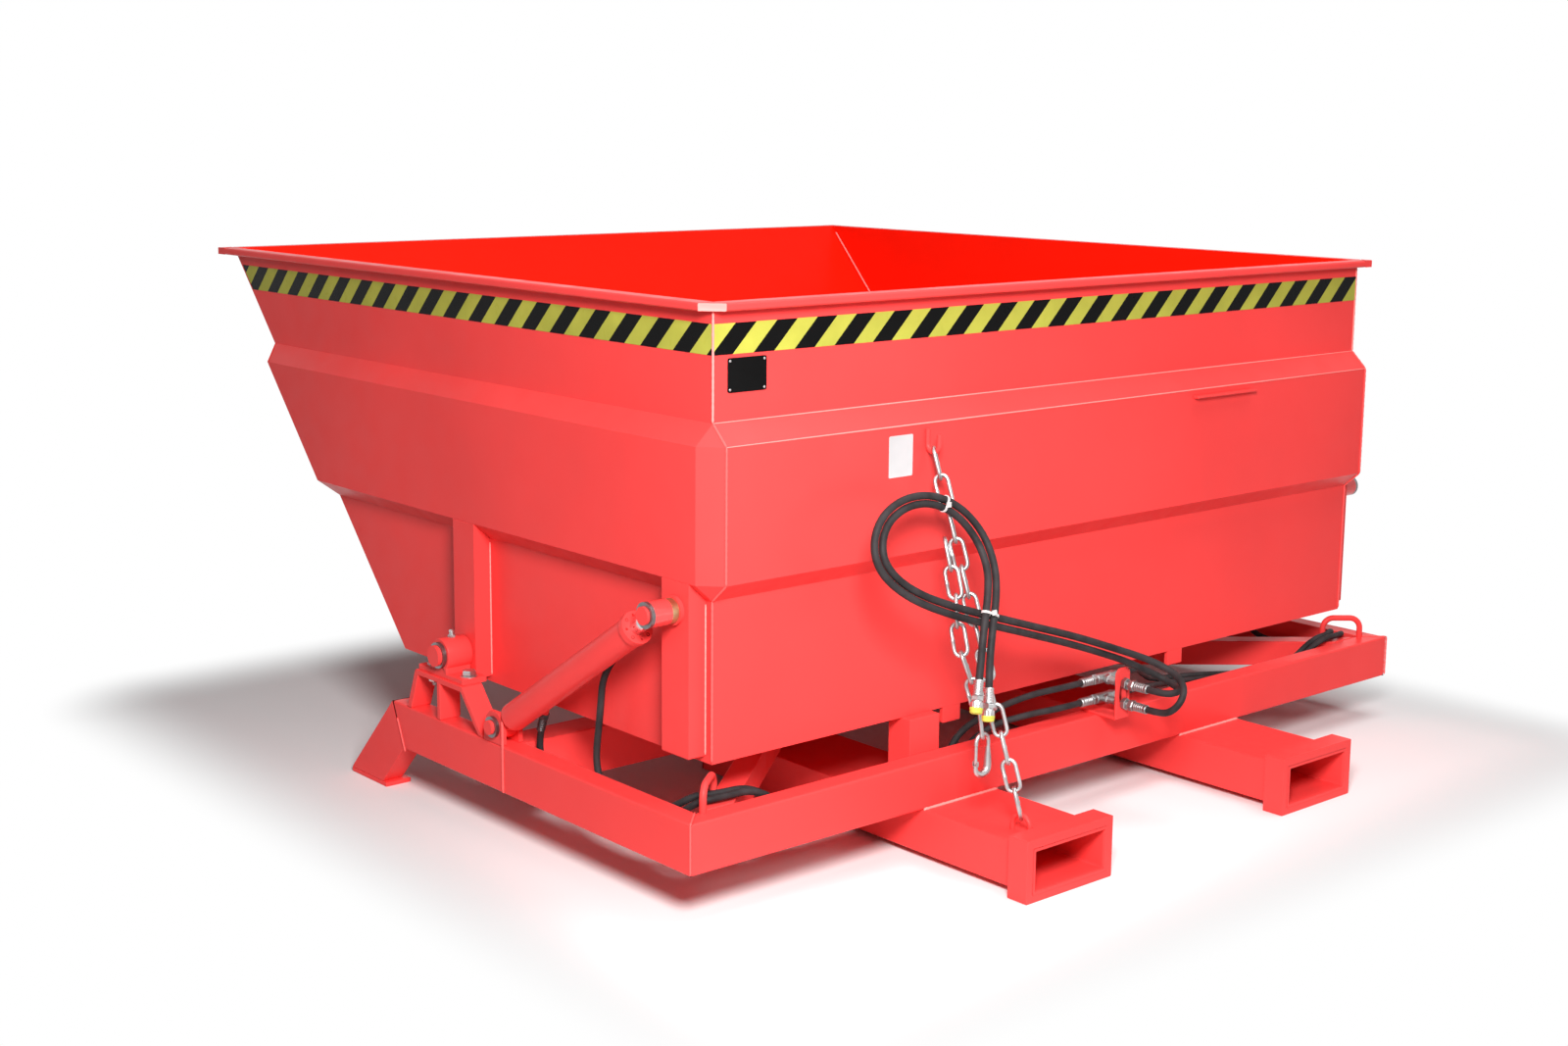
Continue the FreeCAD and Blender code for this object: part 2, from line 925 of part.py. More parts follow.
lug_plates = doc.addObject("Part::Compound", "lug_plates")
lug_plates.Links = [
    lug("lug_outer", -side),
    lug("lug_inner", -side + d.rail_width - d.lug_plate),
]
both(lug_plates, "cylinder_lugs")
low_end = side + d.ring_thickness + d.lower_pin_overhang - d.ring_step
both(
    cylinder(
        "lower_pin",
        d.lower_pin_radius,
        low_end - side + d.rail_width + d.ring_step,
        -low_end,
        low_y,
        low_z,
        TURN_X,
    ),
    "lower_pins",
)
both(
    ring(
        "lower_ring",
        d.lower_ring_radius,
        d.lower_pin_radius + d.run_fit,
        d.ring_thickness,
        -side - d.ring_thickness,
        low_y,
        low_z,
    ),
    "lower_rings",
)

# Rest post on the inner face of the rear rail, under the rear edge of the hopper.
node(
    box(
        "rest_post",
        -d.post_place - d.post_width / 2,
        rail_back + d.rail_width,
        rail_top - d.post_seat,
        d.post_width,
        d.post_depth,
        floor - rail_top + d.post_seat - d.gap,
    ),
    "rest_post",
)

# Hydraulic cylinders, built upright at the lower pin and then leaned to the upper pin.
reach_y = d.upper_pin_reach - d.lower_pin_reach
reach_z = d.upper_pin_rise + d.lower_pin_drop
reach = root(reach_y * reach_y + reach_z * reach_z)
LEAN = FreeCAD.Rotation(V(1, 0, 0), math.degrees(math.atan2(-reach_y.value, reach_z.value)))

STEM_DOWN = FreeCAD.Rotation(V(1, 0, 0), 180)
STEM_ASLANT = FreeCAD.Rotation(V(1, 0, 0), d.stem_turn.value)


def lean(obj):
    obj.Placement.Rotation = LEAN
    return at(obj, -plane_x, low_y, low_z)


eye_width = d.rail_width - d.lug_plate * 2 - d.gap * 2
tube_solid = cylinder("barrel_tube", d.barrel_radius, d.barrel_end - d.barrel_start, 0, 0, d.barrel_start)
neck = box(
    "barrel_neck_box", -eye_width / 2, -d.barrel_neck / 2, 0, eye_width, d.barrel_neck, d.barrel_start
)
eye = cylinder("barrel_eye", d.barrel_eye_radius, eye_width, -eye_width / 2, 0, 0, TURN_X)
port_from = (d.barrel_bore + d.barrel_radius) / 2
port_span = d.barrel_radius + d.port_length - port_from
low_port = cylinder("port_a", d.port_radius, port_span, port_from, 0, d.port_low, TURN_X)
high_port = cylinder("port_b", d.port_radius, port_span, port_from, 0, d.port_high, TURN_X)
stem_x = d.barrel_radius + d.port_length - d.stem_radius - d.stem_set
high_stem = cylinder("stem_b", d.stem_radius, d.stem_length, stem_x, 0, d.port_high, STEM_DOWN)
low_stem = cylinder("stem_a", d.stem_radius, d.stem_length, stem_x, 0, d.port_low, STEM_ASLANT)
barrel_solid = fuse(
    "barrel_solid", [tube_solid, neck, eye, low_port, high_port, low_stem, high_stem]
)
barrel_hole = cylinder(
    "barrel_hole",
    d.barrel_bore,
    d.barrel_end - d.barrel_start - d.barrel_cap + d.overrun,
    0,
    0,
    d.barrel_start + d.barrel_cap,
)
barrel_tubed = cut("barrel_tubed", barrel_solid, barrel_hole)
barrel_pin = cylinder(
    "barrel_pin_hole",
    d.lower_pin_radius + d.run_fit,
    eye_width + d.overrun * 2,
    -eye_width / 2 - d.overrun,
    0,
    0,
    TURN_X,
)
pair(lean(cut("barrel", barrel_tubed, barrel_pin)), "barrel")

gland_flange = cylinder("gland_flange_disc", d.gland_radius, d.gland_flange, 0, 0, d.barrel_end)
gland_spigot = cylinder(
    "gland_spigot_disc",
    d.barrel_bore - d.run_fit,
    d.gland_spigot,
    0,
    0,
    d.barrel_end - d.gland_spigot,
)
gland_solid = fuse("gland_solid", [gland_flange, gland_spigot])
gland_bore = cylinder(
    "gland_bore",
    d.rod_radius + d.run_fit,
    d.gland_spigot + d.gland_flange + d.overrun * 2,
    0,
    0,
    d.barrel_end - d.gland_spigot - d.overrun,
)
gland_open = cut("gland_open", gland_solid, gland_bore)
spanner_ring = (d.gland_radius + d.rod_radius) / 2
spanner_radius = (d.gland_radius - d.rod_radius) / 6
spanner_holes = []
for number, (sx, sy) in enumerate(((1, 0), (0, 1), (-1, 0), (0, -1))):
    spanner_holes.append(
        cylinder(
            "spanner_hole_%d" % number,
            spanner_radius,
            d.gland_flange + d.overrun,
            spanner_ring * sx,
            spanner_ring * sy,
            d.barrel_end + d.gland_flange / 2,
        )
    )
holes = doc.addObject("Part::Compound", "spanner_holes")
holes.Links = spanner_holes
pair(lean(cut("gland", gland_open, holes)), "gland")

rod_bar = cylinder("rod_bar", d.rod_radius, reach - d.rod_start, 0, 0, d.rod_start)
piston = cylinder("piston", d.barrel_bore - d.run_fit, d.piston_length, 0, 0, d.rod_start)
rod_eye = cylinder(
    "rod_eye", d.rod_eye_radius, d.rod_eye_length, -d.rod_eye_length / 2, 0, reach, TURN_X
)
rod_solid = fuse("rod_solid", [rod_bar, piston, rod_eye])
rod_hole = cylinder(
    "rod_hole",
    d.upper_pin_radius + d.run_fit,
    d.rod_eye_length + d.overrun * 2,
    -d.rod_eye_length / 2 - d.overrun,
    0,
    reach,
    TURN_X,
)
pair(lean(cut("rod", rod_solid, rod_hole)), "rod")

# Upper pins ride in the rod eyes; their inner ends stop just short of the bosses.
eye_out = plane_x + d.rod_eye_length / 2
eye_in = plane_x - d.rod_eye_length / 2
boss_face = rib_face + d.boss_length
upper_end = eye_out + d.ring_thickness + d.upper_pin_overhang
pin_bar = cylinder(
    "upper_pin_bar",
    d.upper_pin_radius,
    upper_end - boss_face - d.gap,
    -upper_end,
    high_y,
    high_z,
    TURN_X,
)
pair(pin_bar, "upper_pin")
pair(
    ring(
        "upper_ring",
        d.upper_ring_radius,
        d.upper_pin_radius + d.run_fit,
        d.ring_thickness,
        -eye_out - d.ring_thickness,
        high_y,
        high_z,
    ),
    "upper_ring",
)
pair(
    ring(
        "thrust_washer",
        d.washer_radius,
        d.upper_pin_radius + d.run_fit,
        eye_in - boss_face - d.gap,
        -eye_in,
        high_y,
        high_z,
    ),
    "thrust_washer",
)


# Bent bars and hoses: straight runs joined by tangent arcs.
def spot(x, y, z):
    """A place given from the hopper's rear face and floor."""
    return V(x, rear.value + y, floor.value + z)


def route(points, bend=None, share=0.45):
    """Path edges through the points; each corner is rounded as far as its runs allow."""
    edges = []
    radii = []
    start = points[0]
    for a, b, c in zip(points, points[1:], points[2:]):
        into = (b - a).normalize()
        out = (c - b).normalize()
        turn = into.getAngle(out)
        limit = share * min((b - a).Length, (c - b).Length) / math.tan(turn / 2)
        radius = limit if bend is None else bend
        trim = radius * math.tan(turn / 2)
        first = b - into * trim
        last = b + out * trim
        inward = (out - into).normalize()
        middle = b + inward * (radius / math.cos(turn / 2) - radius)
        if (first - start).Length > d.run_fit.value:
            edges.append(Part.LineSegment(start, first).toShape())
        edges.append(Part.Arc(first, middle, last).toShape())
        radii.append(radius)
        start = last
    edges.append(Part.LineSegment(start, points[-1]).toShape())
    return edges, radii


def swept(edges, radius, direction):
    """A round bar along the path, checked by its section times its length."""
    path = Part.Wire(edges)
    start = edges[0].valueAt(edges[0].FirstParameter)
    ring_wire = Part.Wire([Part.makeCircle(radius, start, direction)])
    solid = path.makePipeShell([ring_wire], True, False)
    expected = math.pi * radius * radius * path.Length
    if abs(solid.Volume - expected) > expected * volume_share:
        raise ValueError("bar volume %.1f, expected %.1f" % (solid.Volume, expected))
    return solid


volume_share = 0.01


def bar(points, radius, bend=None):
    edges, radii = route(points, bend)
    return swept(edges, radius, points[1] - points[0])


def cord(name, points, radius):
    edges, radii = route(points)
    print(name, "radii", " ".join("%.0f" % r for r in radii))
    return swept(edges, radius, points[1] - points[0])


# Lashing eyes at the rear corners.
eye_top = rail_top.value + d.eye_height.value
outer_y = rear.value - d.eye_outer_back.value
inner_y = rear.value + d.eye_inner_back.value
lashing = bar(
    [
        V(-d.eye_outer_place.value, outer_y, rail_top.value),
        V(-d.eye_outer_place.value, outer_y, eye_top),
        V(-d.eye_inner_place.value, inner_y, eye_top),
        V(-d.eye_inner_place.value, inner_y, rail_top.value),
    ],
    d.eye_bar.value,
    d.eye_bend.value,
)
both(feature("lashing_eye", lashing), "lashing_eyes")

# Chain eye on the left fork pocket.
arch_y = rear.value - d.chain_eye_back.value
arch_top = rail_base.value + d.chain_eye_height.value
arch_bend = d.chain_eye_span.value / 2 - d.run_fit.value
chain_eye = bar(
    [
        V(-d.chain_eye_place.value, arch_y, rail_base.value),
        V(-d.chain_eye_place.value, arch_y, arch_top),
        V(-d.chain_eye_place.value, arch_y - d.chain_eye_span.value, arch_top),
        V(-d.chain_eye_place.value, arch_y - d.chain_eye_span.value, rail_base.value),
    ],
    d.chain_eye_bar.value,
    arch_bend,
)
node(feature("chain_eye", chain_eye), "chain_eye")

# Chain hook on the rear wall: one leg on the bead, open at the top.
hook_y = rear.value - d.bead_depth.value - d.hook_bar.value
hook_level = floor.value + d.hook_rise.value
hook_bottom = hook_level - d.hook_span.value / 2
hook = bar(
    [
        V(-d.hook_place.value, hook_y, hook_level + d.hook_leg.value),
        V(-d.hook_place.value, hook_y, hook_bottom),
        V(-d.hook_place.value, hook_y - d.hook_span.value, hook_bottom),
        V(-d.hook_place.value, hook_y - d.hook_span.value, hook_level + d.hook_tip.value),
    ],
    d.hook_bar.value,
    d.hook_span.value / 2 - d.run_fit.value,
)
node(feature("chain_hook", hook), "chain_hook")


# Chain links.
def link(inner_length):
    """One welded link, long along Z and wide along X."""
    bend = d.link_inner_width.value / 2 + d.link_bar.value
    rise = inner_length / 2 + d.link_bar.value - bend
    edges = [
        Part.LineSegment(V(bend, 0, -rise), V(bend, 0, rise)).toShape(),
        Part.Arc(V(bend, 0, rise), V(0, 0, rise + bend), V(-bend, 0, rise)).toShape(),
        Part.LineSegment(V(-bend, 0, rise), V(-bend, 0, -rise)).toShape(),
        Part.Arc(V(-bend, 0, -rise), V(0, 0, -rise - bend), V(bend, 0, -rise)).toShape(),
    ]
    path = Part.Wire(edges)
    section = Part.Wire([Part.makeCircle(d.link_bar.value, V(bend, 0, -rise), V(0, 0, 1))])
    solid = path.makePipeShell([section], True, False)
    expected = math.pi * d.link_bar.value ** 2 * path.Length
    if abs(solid.Volume - expected) > expected * volume_share:
        raise ValueError("link volume %.1f, expected %.1f" % (solid.Volume, expected))
    return solid


def frame_of(along, across):
    """A rotation that takes Z to along and X near to across."""
    zed = V(along).normalize()
    why = zed.cross(V(across)).normalize()
    return FreeCAD.Rotation(why.cross(zed), why, zed, "ZXY")


ACROSS = V(1, 0, 0)
DEEP = V(0, 1, 0)
chain_top = V(
    -d.hook_place.value,
    hook_y - d.hook_span.value / 2,
    hook_bottom + d.hook_bar.value + d.link_bar.value + d.gap.value,
)
chain_low = V(
    -d.chain_eye_place.value,
    arch_y - d.chain_eye_span.value / 2,
    arch_top - d.chain_eye_bar.value - d.link_bar.value - d.gap.value,
)
LINKS = 13
FREE_LINKS = 2
bar_wide = d.link_bar.value * 2
# The chain is parted below the second link, behind the hoses, where the two bars lie outside each other.
apart = bar_wide * 2 + d.gap.value * 2
chain_line = chain_low - chain_top
step = (chain_line.Length - bar_wide - apart) / LINKS
inner = step + d.gap.value
one_link = link(inner)
heading = V(chain_line).normalize()
upper_links = []
lower_links = []
for index in range(LINKS):
    down = step * (index + 0.5) + d.link_bar.value
    if index >= FREE_LINKS:
        down += apart
    piece = one_link.copy()
    turn = frame_of(heading * -1, ACROSS if index % 2 == 0 else DEEP)
    piece.Placement = FreeCAD.Placement(chain_top + heading * down, turn)
    (lower_links if index >= FREE_LINKS else upper_links).append(piece)
node(feature("chain_top", Part.makeCompound(upper_links)), "chain_top")
node(feature("chain_main", Part.makeCompound(lower_links)), "chain_main")

# Loose tail of the chain, hanging beside the main run, with a snap hook at its end.
TAIL = [
    (-508, -112, 384),
    (-509, -133, 322),
    (-511, -150, 272),
    (-530, -172, 205),
    (-524, -188, 152),
    (-510, -200, 110),
    (-501, -210, 62),
    (-499, -220, -8),
]


def along(points, distance):
    """The place and heading at a distance along a polyline."""
    left = distance
    for a, b in zip(points, points[1:]):
        span = (b - a).Length
        if left <= span or b is points[-1]:
            return a + (b - a) * (left / span), (b - a).normalize()
        left -= span


tail_points = [spot(*p) for p in TAIL]
tail_length = sum((b - a).Length for a, b in zip(tail_points, tail_points[1:]))
tail_count = int(tail_length / d.tail_pitch.value)
tail_share = 0.9
tail_link = link(d.tail_pitch.value + d.gap.value)
tail = []
ends = [tail_points[0]]
for index in range(tail_count):
    # each joint lies on the route one pitch from the last
    low, high = 0.0, tail_length
    for _ in range(60):
        middle = (low + high) / 2
        spot_here = along(tail_points, middle)[0]
        reached = (spot_here - ends[-1]).Length >= d.tail_pitch.value
        ahead_of = middle > index * d.tail_pitch.value * tail_share
        low, high = (low, middle) if reached and ahead_of else (middle, high)
    ends.append(along(tail_points, high)[0])
for index, (a, b) in enumerate(zip(ends, ends[1:])):
    piece = tail_link.copy()
    turn = frame_of(a - b, DEEP if index % 2 == 0 else ACROSS)
    piece.Placement = FreeCAD.Placement((a + b) / 2, turn)
    tail.append(piece)
node(feature("chain_tail", Part.makeCompound(tail)), "chain_tail")
print("tail links", tail_count, "end", ends[-1])

# Snap hook: an open bar with a gate that swings inwards.
w = d.snap_half_width.value
h = d.snap_half_length.value
last_wide = (tail_count - 1) % 2 == 1
gate_low = -d.snap_hinge.value - d.gate_bar.value
snap_edges = [
    Part.LineSegment(V(-w, 0, d.snap_nose.value), V(-w, 0, h)).toShape(),
    Part.Arc(V(-w, 0, h), V(0, 0, h + w), V(w, 0, h)).toShape(),
    Part.LineSegment(V(w, 0, h), V(w, 0, -h)).toShape(),
    Part.Arc(V(w, 0, -h), V(0, 0, -h - w), V(-w, 0, -h)).toShape(),
    Part.LineSegment(V(-w, 0, -h), V(-w, 0, gate_low - d.snap_end_gap.value)).toShape(),
]
snap = swept(snap_edges, d.snap_bar.value, V(0, 0, 1))
gate = Part.makeCylinder(
    d.gate_bar.value,
    d.snap_nose.value - d.snap_nose_gap.value - gate_low,
    V(-w, 0, gate_low),
    V(0, 0, 1),
)
# the gate turns on a cross pin between two ears on the hook's end
hinge_at = V(-w, 0, -d.snap_hinge.value)
ear_low = gate_low - d.snap_end_gap.value
ear_inner = d.gate_bar.value + d.snap_ear_gap.value
ear_outer = ear_inner + d.snap_ear.value
ear_half = d.snap_ear_half.value
pin_half = ear_outer + d.snap_ear_gap.value
pin_start = hinge_at - V(0, pin_half, 0)
gate_pin = Part.makeCylinder(d.snap_pin.value, 2 * pin_half, pin_start, V(0, 1, 0))
gate = gate.fuse(gate_pin).removeSplitter()
yoke = Part.makeCylinder(
    ear_outer, d.snap_yoke.value, V(-w, 0, ear_low - d.snap_yoke.value), V(0, 0, 1)
)
ears = [yoke]
for ear_start in (ear_inner, -ear_outer):
    ear_corner = V(-w - ear_half, ear_start, ear_low - d.snap_yoke.value / 2)
    ear_height = hinge_at.z - ear_corner.z
    ears.append(Part.makeBox(2 * ear_half, d.snap_ear.value, ear_height, ear_corner))
    ear_top = hinge_at + V(0, ear_start, 0)
    ears.append(Part.makeCylinder(ear_half, d.snap_ear.value, ear_top, V(0, 1, 0)))
ear_bore = Part.makeCylinder(
    d.snap_pin.value + d.snap_ear_gap.value / 2, 2 * pin_half, pin_start, V(0, 1, 0)
)
snap = snap.fuse(ears).cut(ear_bore).removeSplitter()
# the snap hook hangs on the lower bar of the last link
snap_middle = ends[-1] + V(0, 0, d.snap_bar.value + d.gap.value / 2 - h - w)
snap_turn = FreeCAD.Rotation() if not last_wide else FreeCAD.Rotation(V(0, 0, 1), 90)
snap_place = FreeCAD.Placement(snap_middle, snap_turn)
snap_body = feature("snap_hook", snap)
snap_body.Placement = snap_place
node(snap_body, "snap_hook")
snap_gate = feature("snap_gate", gate)
snap_gate.Placement = snap_place
node(snap_gate, "snap_gate")
print("snap", snap_middle, "turned", last_wide)

# Bulkhead bracket on the rear rail: a foot across the rail and an upright that carries the unions.
bulk_top = rail_top + d.bulk_rise
bulk_front = rear - d.bulk_outer
bulk_back = bulk_front + d.bulk_plate
bulk_right = d.bulk_place + d.bulk_width
upright = pad(
    "bulk_upright",
    "XZ_Plane",
    [
        (d.bulk_place, rail_top),
        (bulk_right, rail_top),
        (bulk_right, bulk_top - d.bulk_chamfer),
        (bulk_right - d.bulk_chamfer, bulk_top),
        (d.bulk_place + d.bulk_chamfer, bulk_top),
        (d.bulk_place, bulk_top - d.bulk_chamfer),
    ],
    -bulk_back,
    d.bulk_plate,
)
bulk_foot = box(
    "bulk_foot",
    d.bulk_place,
    bulk_back,
    rail_top,
    d.bulk_width,
    rail_back + d.rail_width - bulk_back,
    d.bulk_plate,
)
tee_y = bulk_back + d.union_reach
union_bores = []
union_solids = []
for word, drop in (("high", d.union_high), ("low", d.union_low)):
    z = floor - drop
    union_bores.append(
        cylinder(
            "bulk_hole_" + word,
            d.union_radius + d.run_fit,
            d.bulk_plate + d.overrun * 2,
            d.union_place,
            bulk_front - d.overrun,
            z,
            TURN_Y,
        )
    )
    stem_bar = cylinder(
        "union_stem_" + word,
        d.union_radius,
        d.union_tail + d.bulk_plate + d.union_reach,
        d.union_place,
        bulk_front - d.union_tail,
        z,
        TURN_Y,
    )
    nut_front = cylinder(
        "union_nut_a_" + word,
        d.union_nut,
        d.union_nut_length,
        d.union_place,
        bulk_front - d.union_nut_length,
        z,
        TURN_Y,
    )
    nut_back = cylinder(
        "union_nut_b_" + word,
        d.union_nut,
        d.union_nut_length,
        d.union_place,
        bulk_back,
        z,
        TURN_Y,
    )
    tee = cylinder(
        "tee_" + word, d.tee_radius, d.tee_half * 2, d.union_place - d.tee_half, tee_y, z, TURN_X
    )
    ferrule_left = cylinder(
        "line_ferrule_left_" + word,
        d.ferrule_radius,
        d.line_ferrule,
        d.union_place - d.tee_half - d.line_ferrule,
        tee_y,
        z,
        TURN_X,
    )
    ferrule_right = cylinder(
        "line_ferrule_right_" + word,
        d.ferrule_radius,
        d.ferrule_length,
        d.union_place + d.tee_half,
        tee_y,
        z,
        TURN_X,
    )
    hose_ferrule = cylinder(
        "hose_ferrule_" + word,
        d.ferrule_radius,
        d.hose_ferrule,
        d.union_place,
        bulk_front - d.union_tail + d.union_nut_length / 2 - d.hose_ferrule,
        z,
        TURN_Y,
    )
    union_solids.append(
        fuse(
            "union_" + word,
            [stem_bar, nut_front, nut_back, tee, ferrule_left, ferrule_right, hose_ferrule],
        )
    )
bulk_holes = doc.addObject("Part::Compound", "bulk_holes")
bulk_holes.Links = union_bores
node(cut("bulkhead_drilled", fuse("bulk_body", [upright, bulk_foot]), bulk_holes), "bulkhead")
unions = doc.addObject("Part::Compound", "union_pair")
unions.Links = union_solids
node(unions, "unions")

# Free hoses from the unions: out, round in a level loop, back along the wall in a hanging loop, and
# down to the couplings.
ferrule_end = bulk_front - d.union_tail + d.union_nut_length / 2 - d.hose_ferrule
HOSE_OUTER = [
    (35, -218, -40),
    (36, -246, -35),
    (45, -265, -15),
    (63, -264, 8),
    (79, -244, 26),
    (85, -216, 38),
    (78, -190, 49),
    (60, -167, 61),
    (31, -150, 74),
    (-6, -140, 88),
    (-139, -140, 137),
    (-301, -166, 189),
    (-447, -195, 236),
    (-568, -201, 275),
    (-668, -192, 317),
    (-726, -178, 366),
    (-729, -163, 411),
    (-696, -148, 450),
    (-636, -136, 470),
    (-566, -128, 468),
    (-492, -124, 438),
    (-454, -144, 388),
    (-456, -180, 334),
    (-484, -208, 285),
    (-508, -222, 229),
    (-526, -234, 176),
    (-540, -243, 136),
]
HOSE_INNER = [
    (35, -213, 4),
    (44, -236, 3),
    (66, -243, 4),
    (87, -230, 6),
    (96, -206, 9),
    (95, -183, 15),
    (83, -163, 26),
    (59, -149, 39),
    (30, -139, 54),
    (-7, -131, 70),
    (-144, -140, 120),
    (-306, -166, 173),
    (-452, -195, 220),
    (-574, -201, 260),
    (-678, -192, 305),
    (-743, -178, 359),
    (-751, -163, 414),
    (-714, -148, 462),
    (-646, -136, 486),
    (-564, -128, 484),
    (-478, -124, 449),
    (-433, -144, 394),
    (-435, -180, 334),
    (-460, -208, 280),
    (-484, -222, 223),
    (-502, -234, 170),
    (-512, -243, 116),
]
coupler_parts = []
cap_parts = []
for label, points, drop in (
    ("hose_outer", HOSE_OUTER, d.union_low),
    ("hose_inner", HOSE_INNER, d.union_high),
):
    first = V(d.union_place.value, ferrule_end.value - d.run_fit.value, floor.value - drop.value)
    places = [first] + [spot(*p) for p in points]
    node(feature(label, cord(label, places, d.hose_radius.value)), label)
    ahead = (places[-1] - places[-2]).normalize()
    tip = places[-1]
    ferrule = Part.makeCylinder(d.ferrule_radius.value, d.ferrule_length.value, tip, ahead)
    tip = tip + ahead * d.ferrule_length.value
    coupler = Part.makeCylinder(d.coupler_radius.value, d.coupler_length.value, tip, ahead)
    coupler_parts.append(ferrule.fuse(coupler).removeSplitter())
    tip = tip + ahead * d.coupler_length.value
    cap_parts.append(Part.makeCylinder(d.cap_radius.value, d.cap_length.value, tip, ahead))
node(feature("quick_couplings", Part.makeCompound(coupler_parts)), "quick_couplings")
node(feature("dust_caps", Part.makeCompound(cap_parts)), "dust_caps")


# Cable ties round the two free hoses.
def tie(a, b, way):
    """A flat band round two parallel hoses with centres a and b."""
    zed = V(way).normalize()
    b = b - zed * (b - a).dot(zed)
    ex = (b - a).normalize()
    why = zed.cross(ex)
    bands = []
    for radius in (
        d.hose_radius.value + d.gap.value + d.tie_thickness.value,
        d.hose_radius.value + d.gap.value,
    ):
        edges = [
            Part.LineSegment(a + why * radius, b + why * radius).toShape(),
            Part.Arc(b + why * radius, b + ex * radius, b - why * radius).toShape(),
            Part.LineSegment(b - why * radius, a - why * radius).toShape(),
            Part.Arc(a - why * radius, a - ex * radius, a + why * radius).toShape(),
        ]
        face = Part.Face(Part.Wire(edges))
        face.translate(zed * (-d.tie_width.value / 2))
        bands.append(face.extrude(zed * d.tie_width.value))
    return bands[0].cut(bands[1])


def middle(points, index):
    a = spot(*points[index])
    b = spot(*points[index + 1])
    return (a + b) / 2, b - a


TIED_RUNS = (19, 23)
ties = []
for run in TIED_RUNS:
    centre_a, way = middle(HOSE_OUTER, run)
    centre_b, other = middle(HOSE_INNER, run)
    ties.append(tie(centre_a, centre_b, way))
node(feature("hose_ties", Part.makeCompound(ties)), "hose_ties")

# Lines from the tees to the cylinder ports, behind the rear rail and inside the side rails.
lean_y = reach_y.value / reach.value
lean_z = reach_z.value / reach.value
stem_place = -plane_x.value + stem_x.value
aslant = math.radians(d.stem_turn.value)
high_at = d.port_high.value - d.stem_length.value - d.gap.value
high_start = V(
    stem_place, low_y.value + lean_y * high_at, low_z.value + lean_z * high_at
)
aslant_y = -math.sin(aslant) * (d.stem_length.value + d.gap.value)
aslant_z = d.port_low.value + math.cos(aslant) * (d.stem_length.value + d.gap.value)
low_start = V(
    stem_place,
    low_y.value + lean_z * aslant_y + lean_y * aslant_z,
    low_z.value - lean_y * aslant_y + lean_z * aslant_z,
)
HIGH_LINE = [
    (-1040, 285, 147.4),
    (-1038, 303, 25),
    (-1040, 316, -62),
    (-1040, 292, -112),
    (-1040, 240, -132),
    (-1041, 135, -124),
    (-1040, 62, -88),
    (-1018, 28, -63),
    (-985, 6, -61),
    (-905, 3, -62),
]
LOW_LINE = [
    (-1040, 513.1, -62.4),
    (-1040, 503, -112),
    (-1040, 470, -143),
    (-1040, 400, -152),
    (-1040, 230, -150),
    (-1041, 125, -141),
    (-1040, 52, -104),
    (-1034, 6, -68),
    (-997, -12, -62),
    (-905, -14, -62),
]
HIGH_LEFT = [
    (-840, 3, -106),
    (-700, 3, -139),
    (-560, 3, -143),
    (-410, 3, -141),
    (-364, 6, -102),
    (-332, 2, -58),
    (-246, -22, -21),
    (-170, -45, -2),
    (-118, -63, 4),
    (-78, -65, 4),
]
LOW_LEFT = [
    (-840, -14, -106),
    (-700, -14, -139),
    (-560, -14, -143),
    (-410, -14, -142),
    (-360, -13, -116),
    (-310, -10, -82),
    (-254, -18, -57),
    (-171, -46, -44),
    (-118, -63, -40),
    (-78, -65, -40),
]
HIGH_RIGHT = [
    (-820, 3, -104),
    (-740, 3, -112),
    (-640, 3, -104),
    (-510, 3, -84),
    (-390, 3, -68),
    (-270, -10, -52),
    (-200, -42, -22),
    (-158, -62, 2),
    (-128, -65, 4),
]
LOW_RIGHT = [
    (-820, -14, -104),
    (-740, -14, -112),
    (-640, -14, -106),
    (-510, -14, -88),
    (-390, -14, -74),
    (-270, -22, -62),
    (-200, -48, -50),
    (-158, -63, -41),
    (-128, -65, -40),
]


def flip(place):
    return V(-place.x, place.y, place.z)


left_end = (d.union_place - d.tee_half - d.line_ferrule - d.run_fit).value
right_end = (d.union_place + d.tee_half + d.ferrule_length + d.run_fit).value
for word, flipped, ends_of in (
    ("left", False, (HIGH_LEFT, LOW_LEFT)),
    ("right", True, (HIGH_RIGHT, LOW_RIGHT)),
):
    tubes = []
    for name, start, common, rest, drop in (
        ("high", high_start, HIGH_LINE, ends_of[0], d.union_high),
        ("low", low_start, LOW_LINE, ends_of[1], d.union_low),
    ):
        places = [start] + [spot(*p) for p in common + rest]
        level = floor.value - drop.value
        if flipped:
            places = [flip(p) for p in places] + [V(right_end, tee_y.value, level)]
        else:
            places = places + [V(left_end, tee_y.value, level)]
        tubes.append(cord("line_%s_%s" % (name, word), places, d.line_radius.value))
    node(feature("lines_" + word, Part.makeCompound(tubes)), "lines_" + word)

# Every object is recomputed and tested before anything is written.
doc.recompute()
for obj in doc.Objects:
    if "Invalid" in obj.State or "Error" in obj.State:
        raise RuntimeError("%s failed: %s" % (obj.Name, obj.State))
for obj in nodes:
    if obj.Shape.isNull() or not obj.Shape.isValid():
        raise RuntimeError("%s has no valid shape" % obj.Label)
os.makedirs("parts", exist_ok=True)
for obj in nodes:
    obj.Shape.exportStep("parts/%s.step" % obj.Label)
print(len(nodes), "nodes written")
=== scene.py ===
"""Looks of a hydraulic tipping skip: paint, hoses, tape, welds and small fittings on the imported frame."""
import json
import math

import bmesh
import bpy
from bpy.props import FloatProperty, FloatVectorProperty, PointerProperty
from mathutils import Matrix, Vector


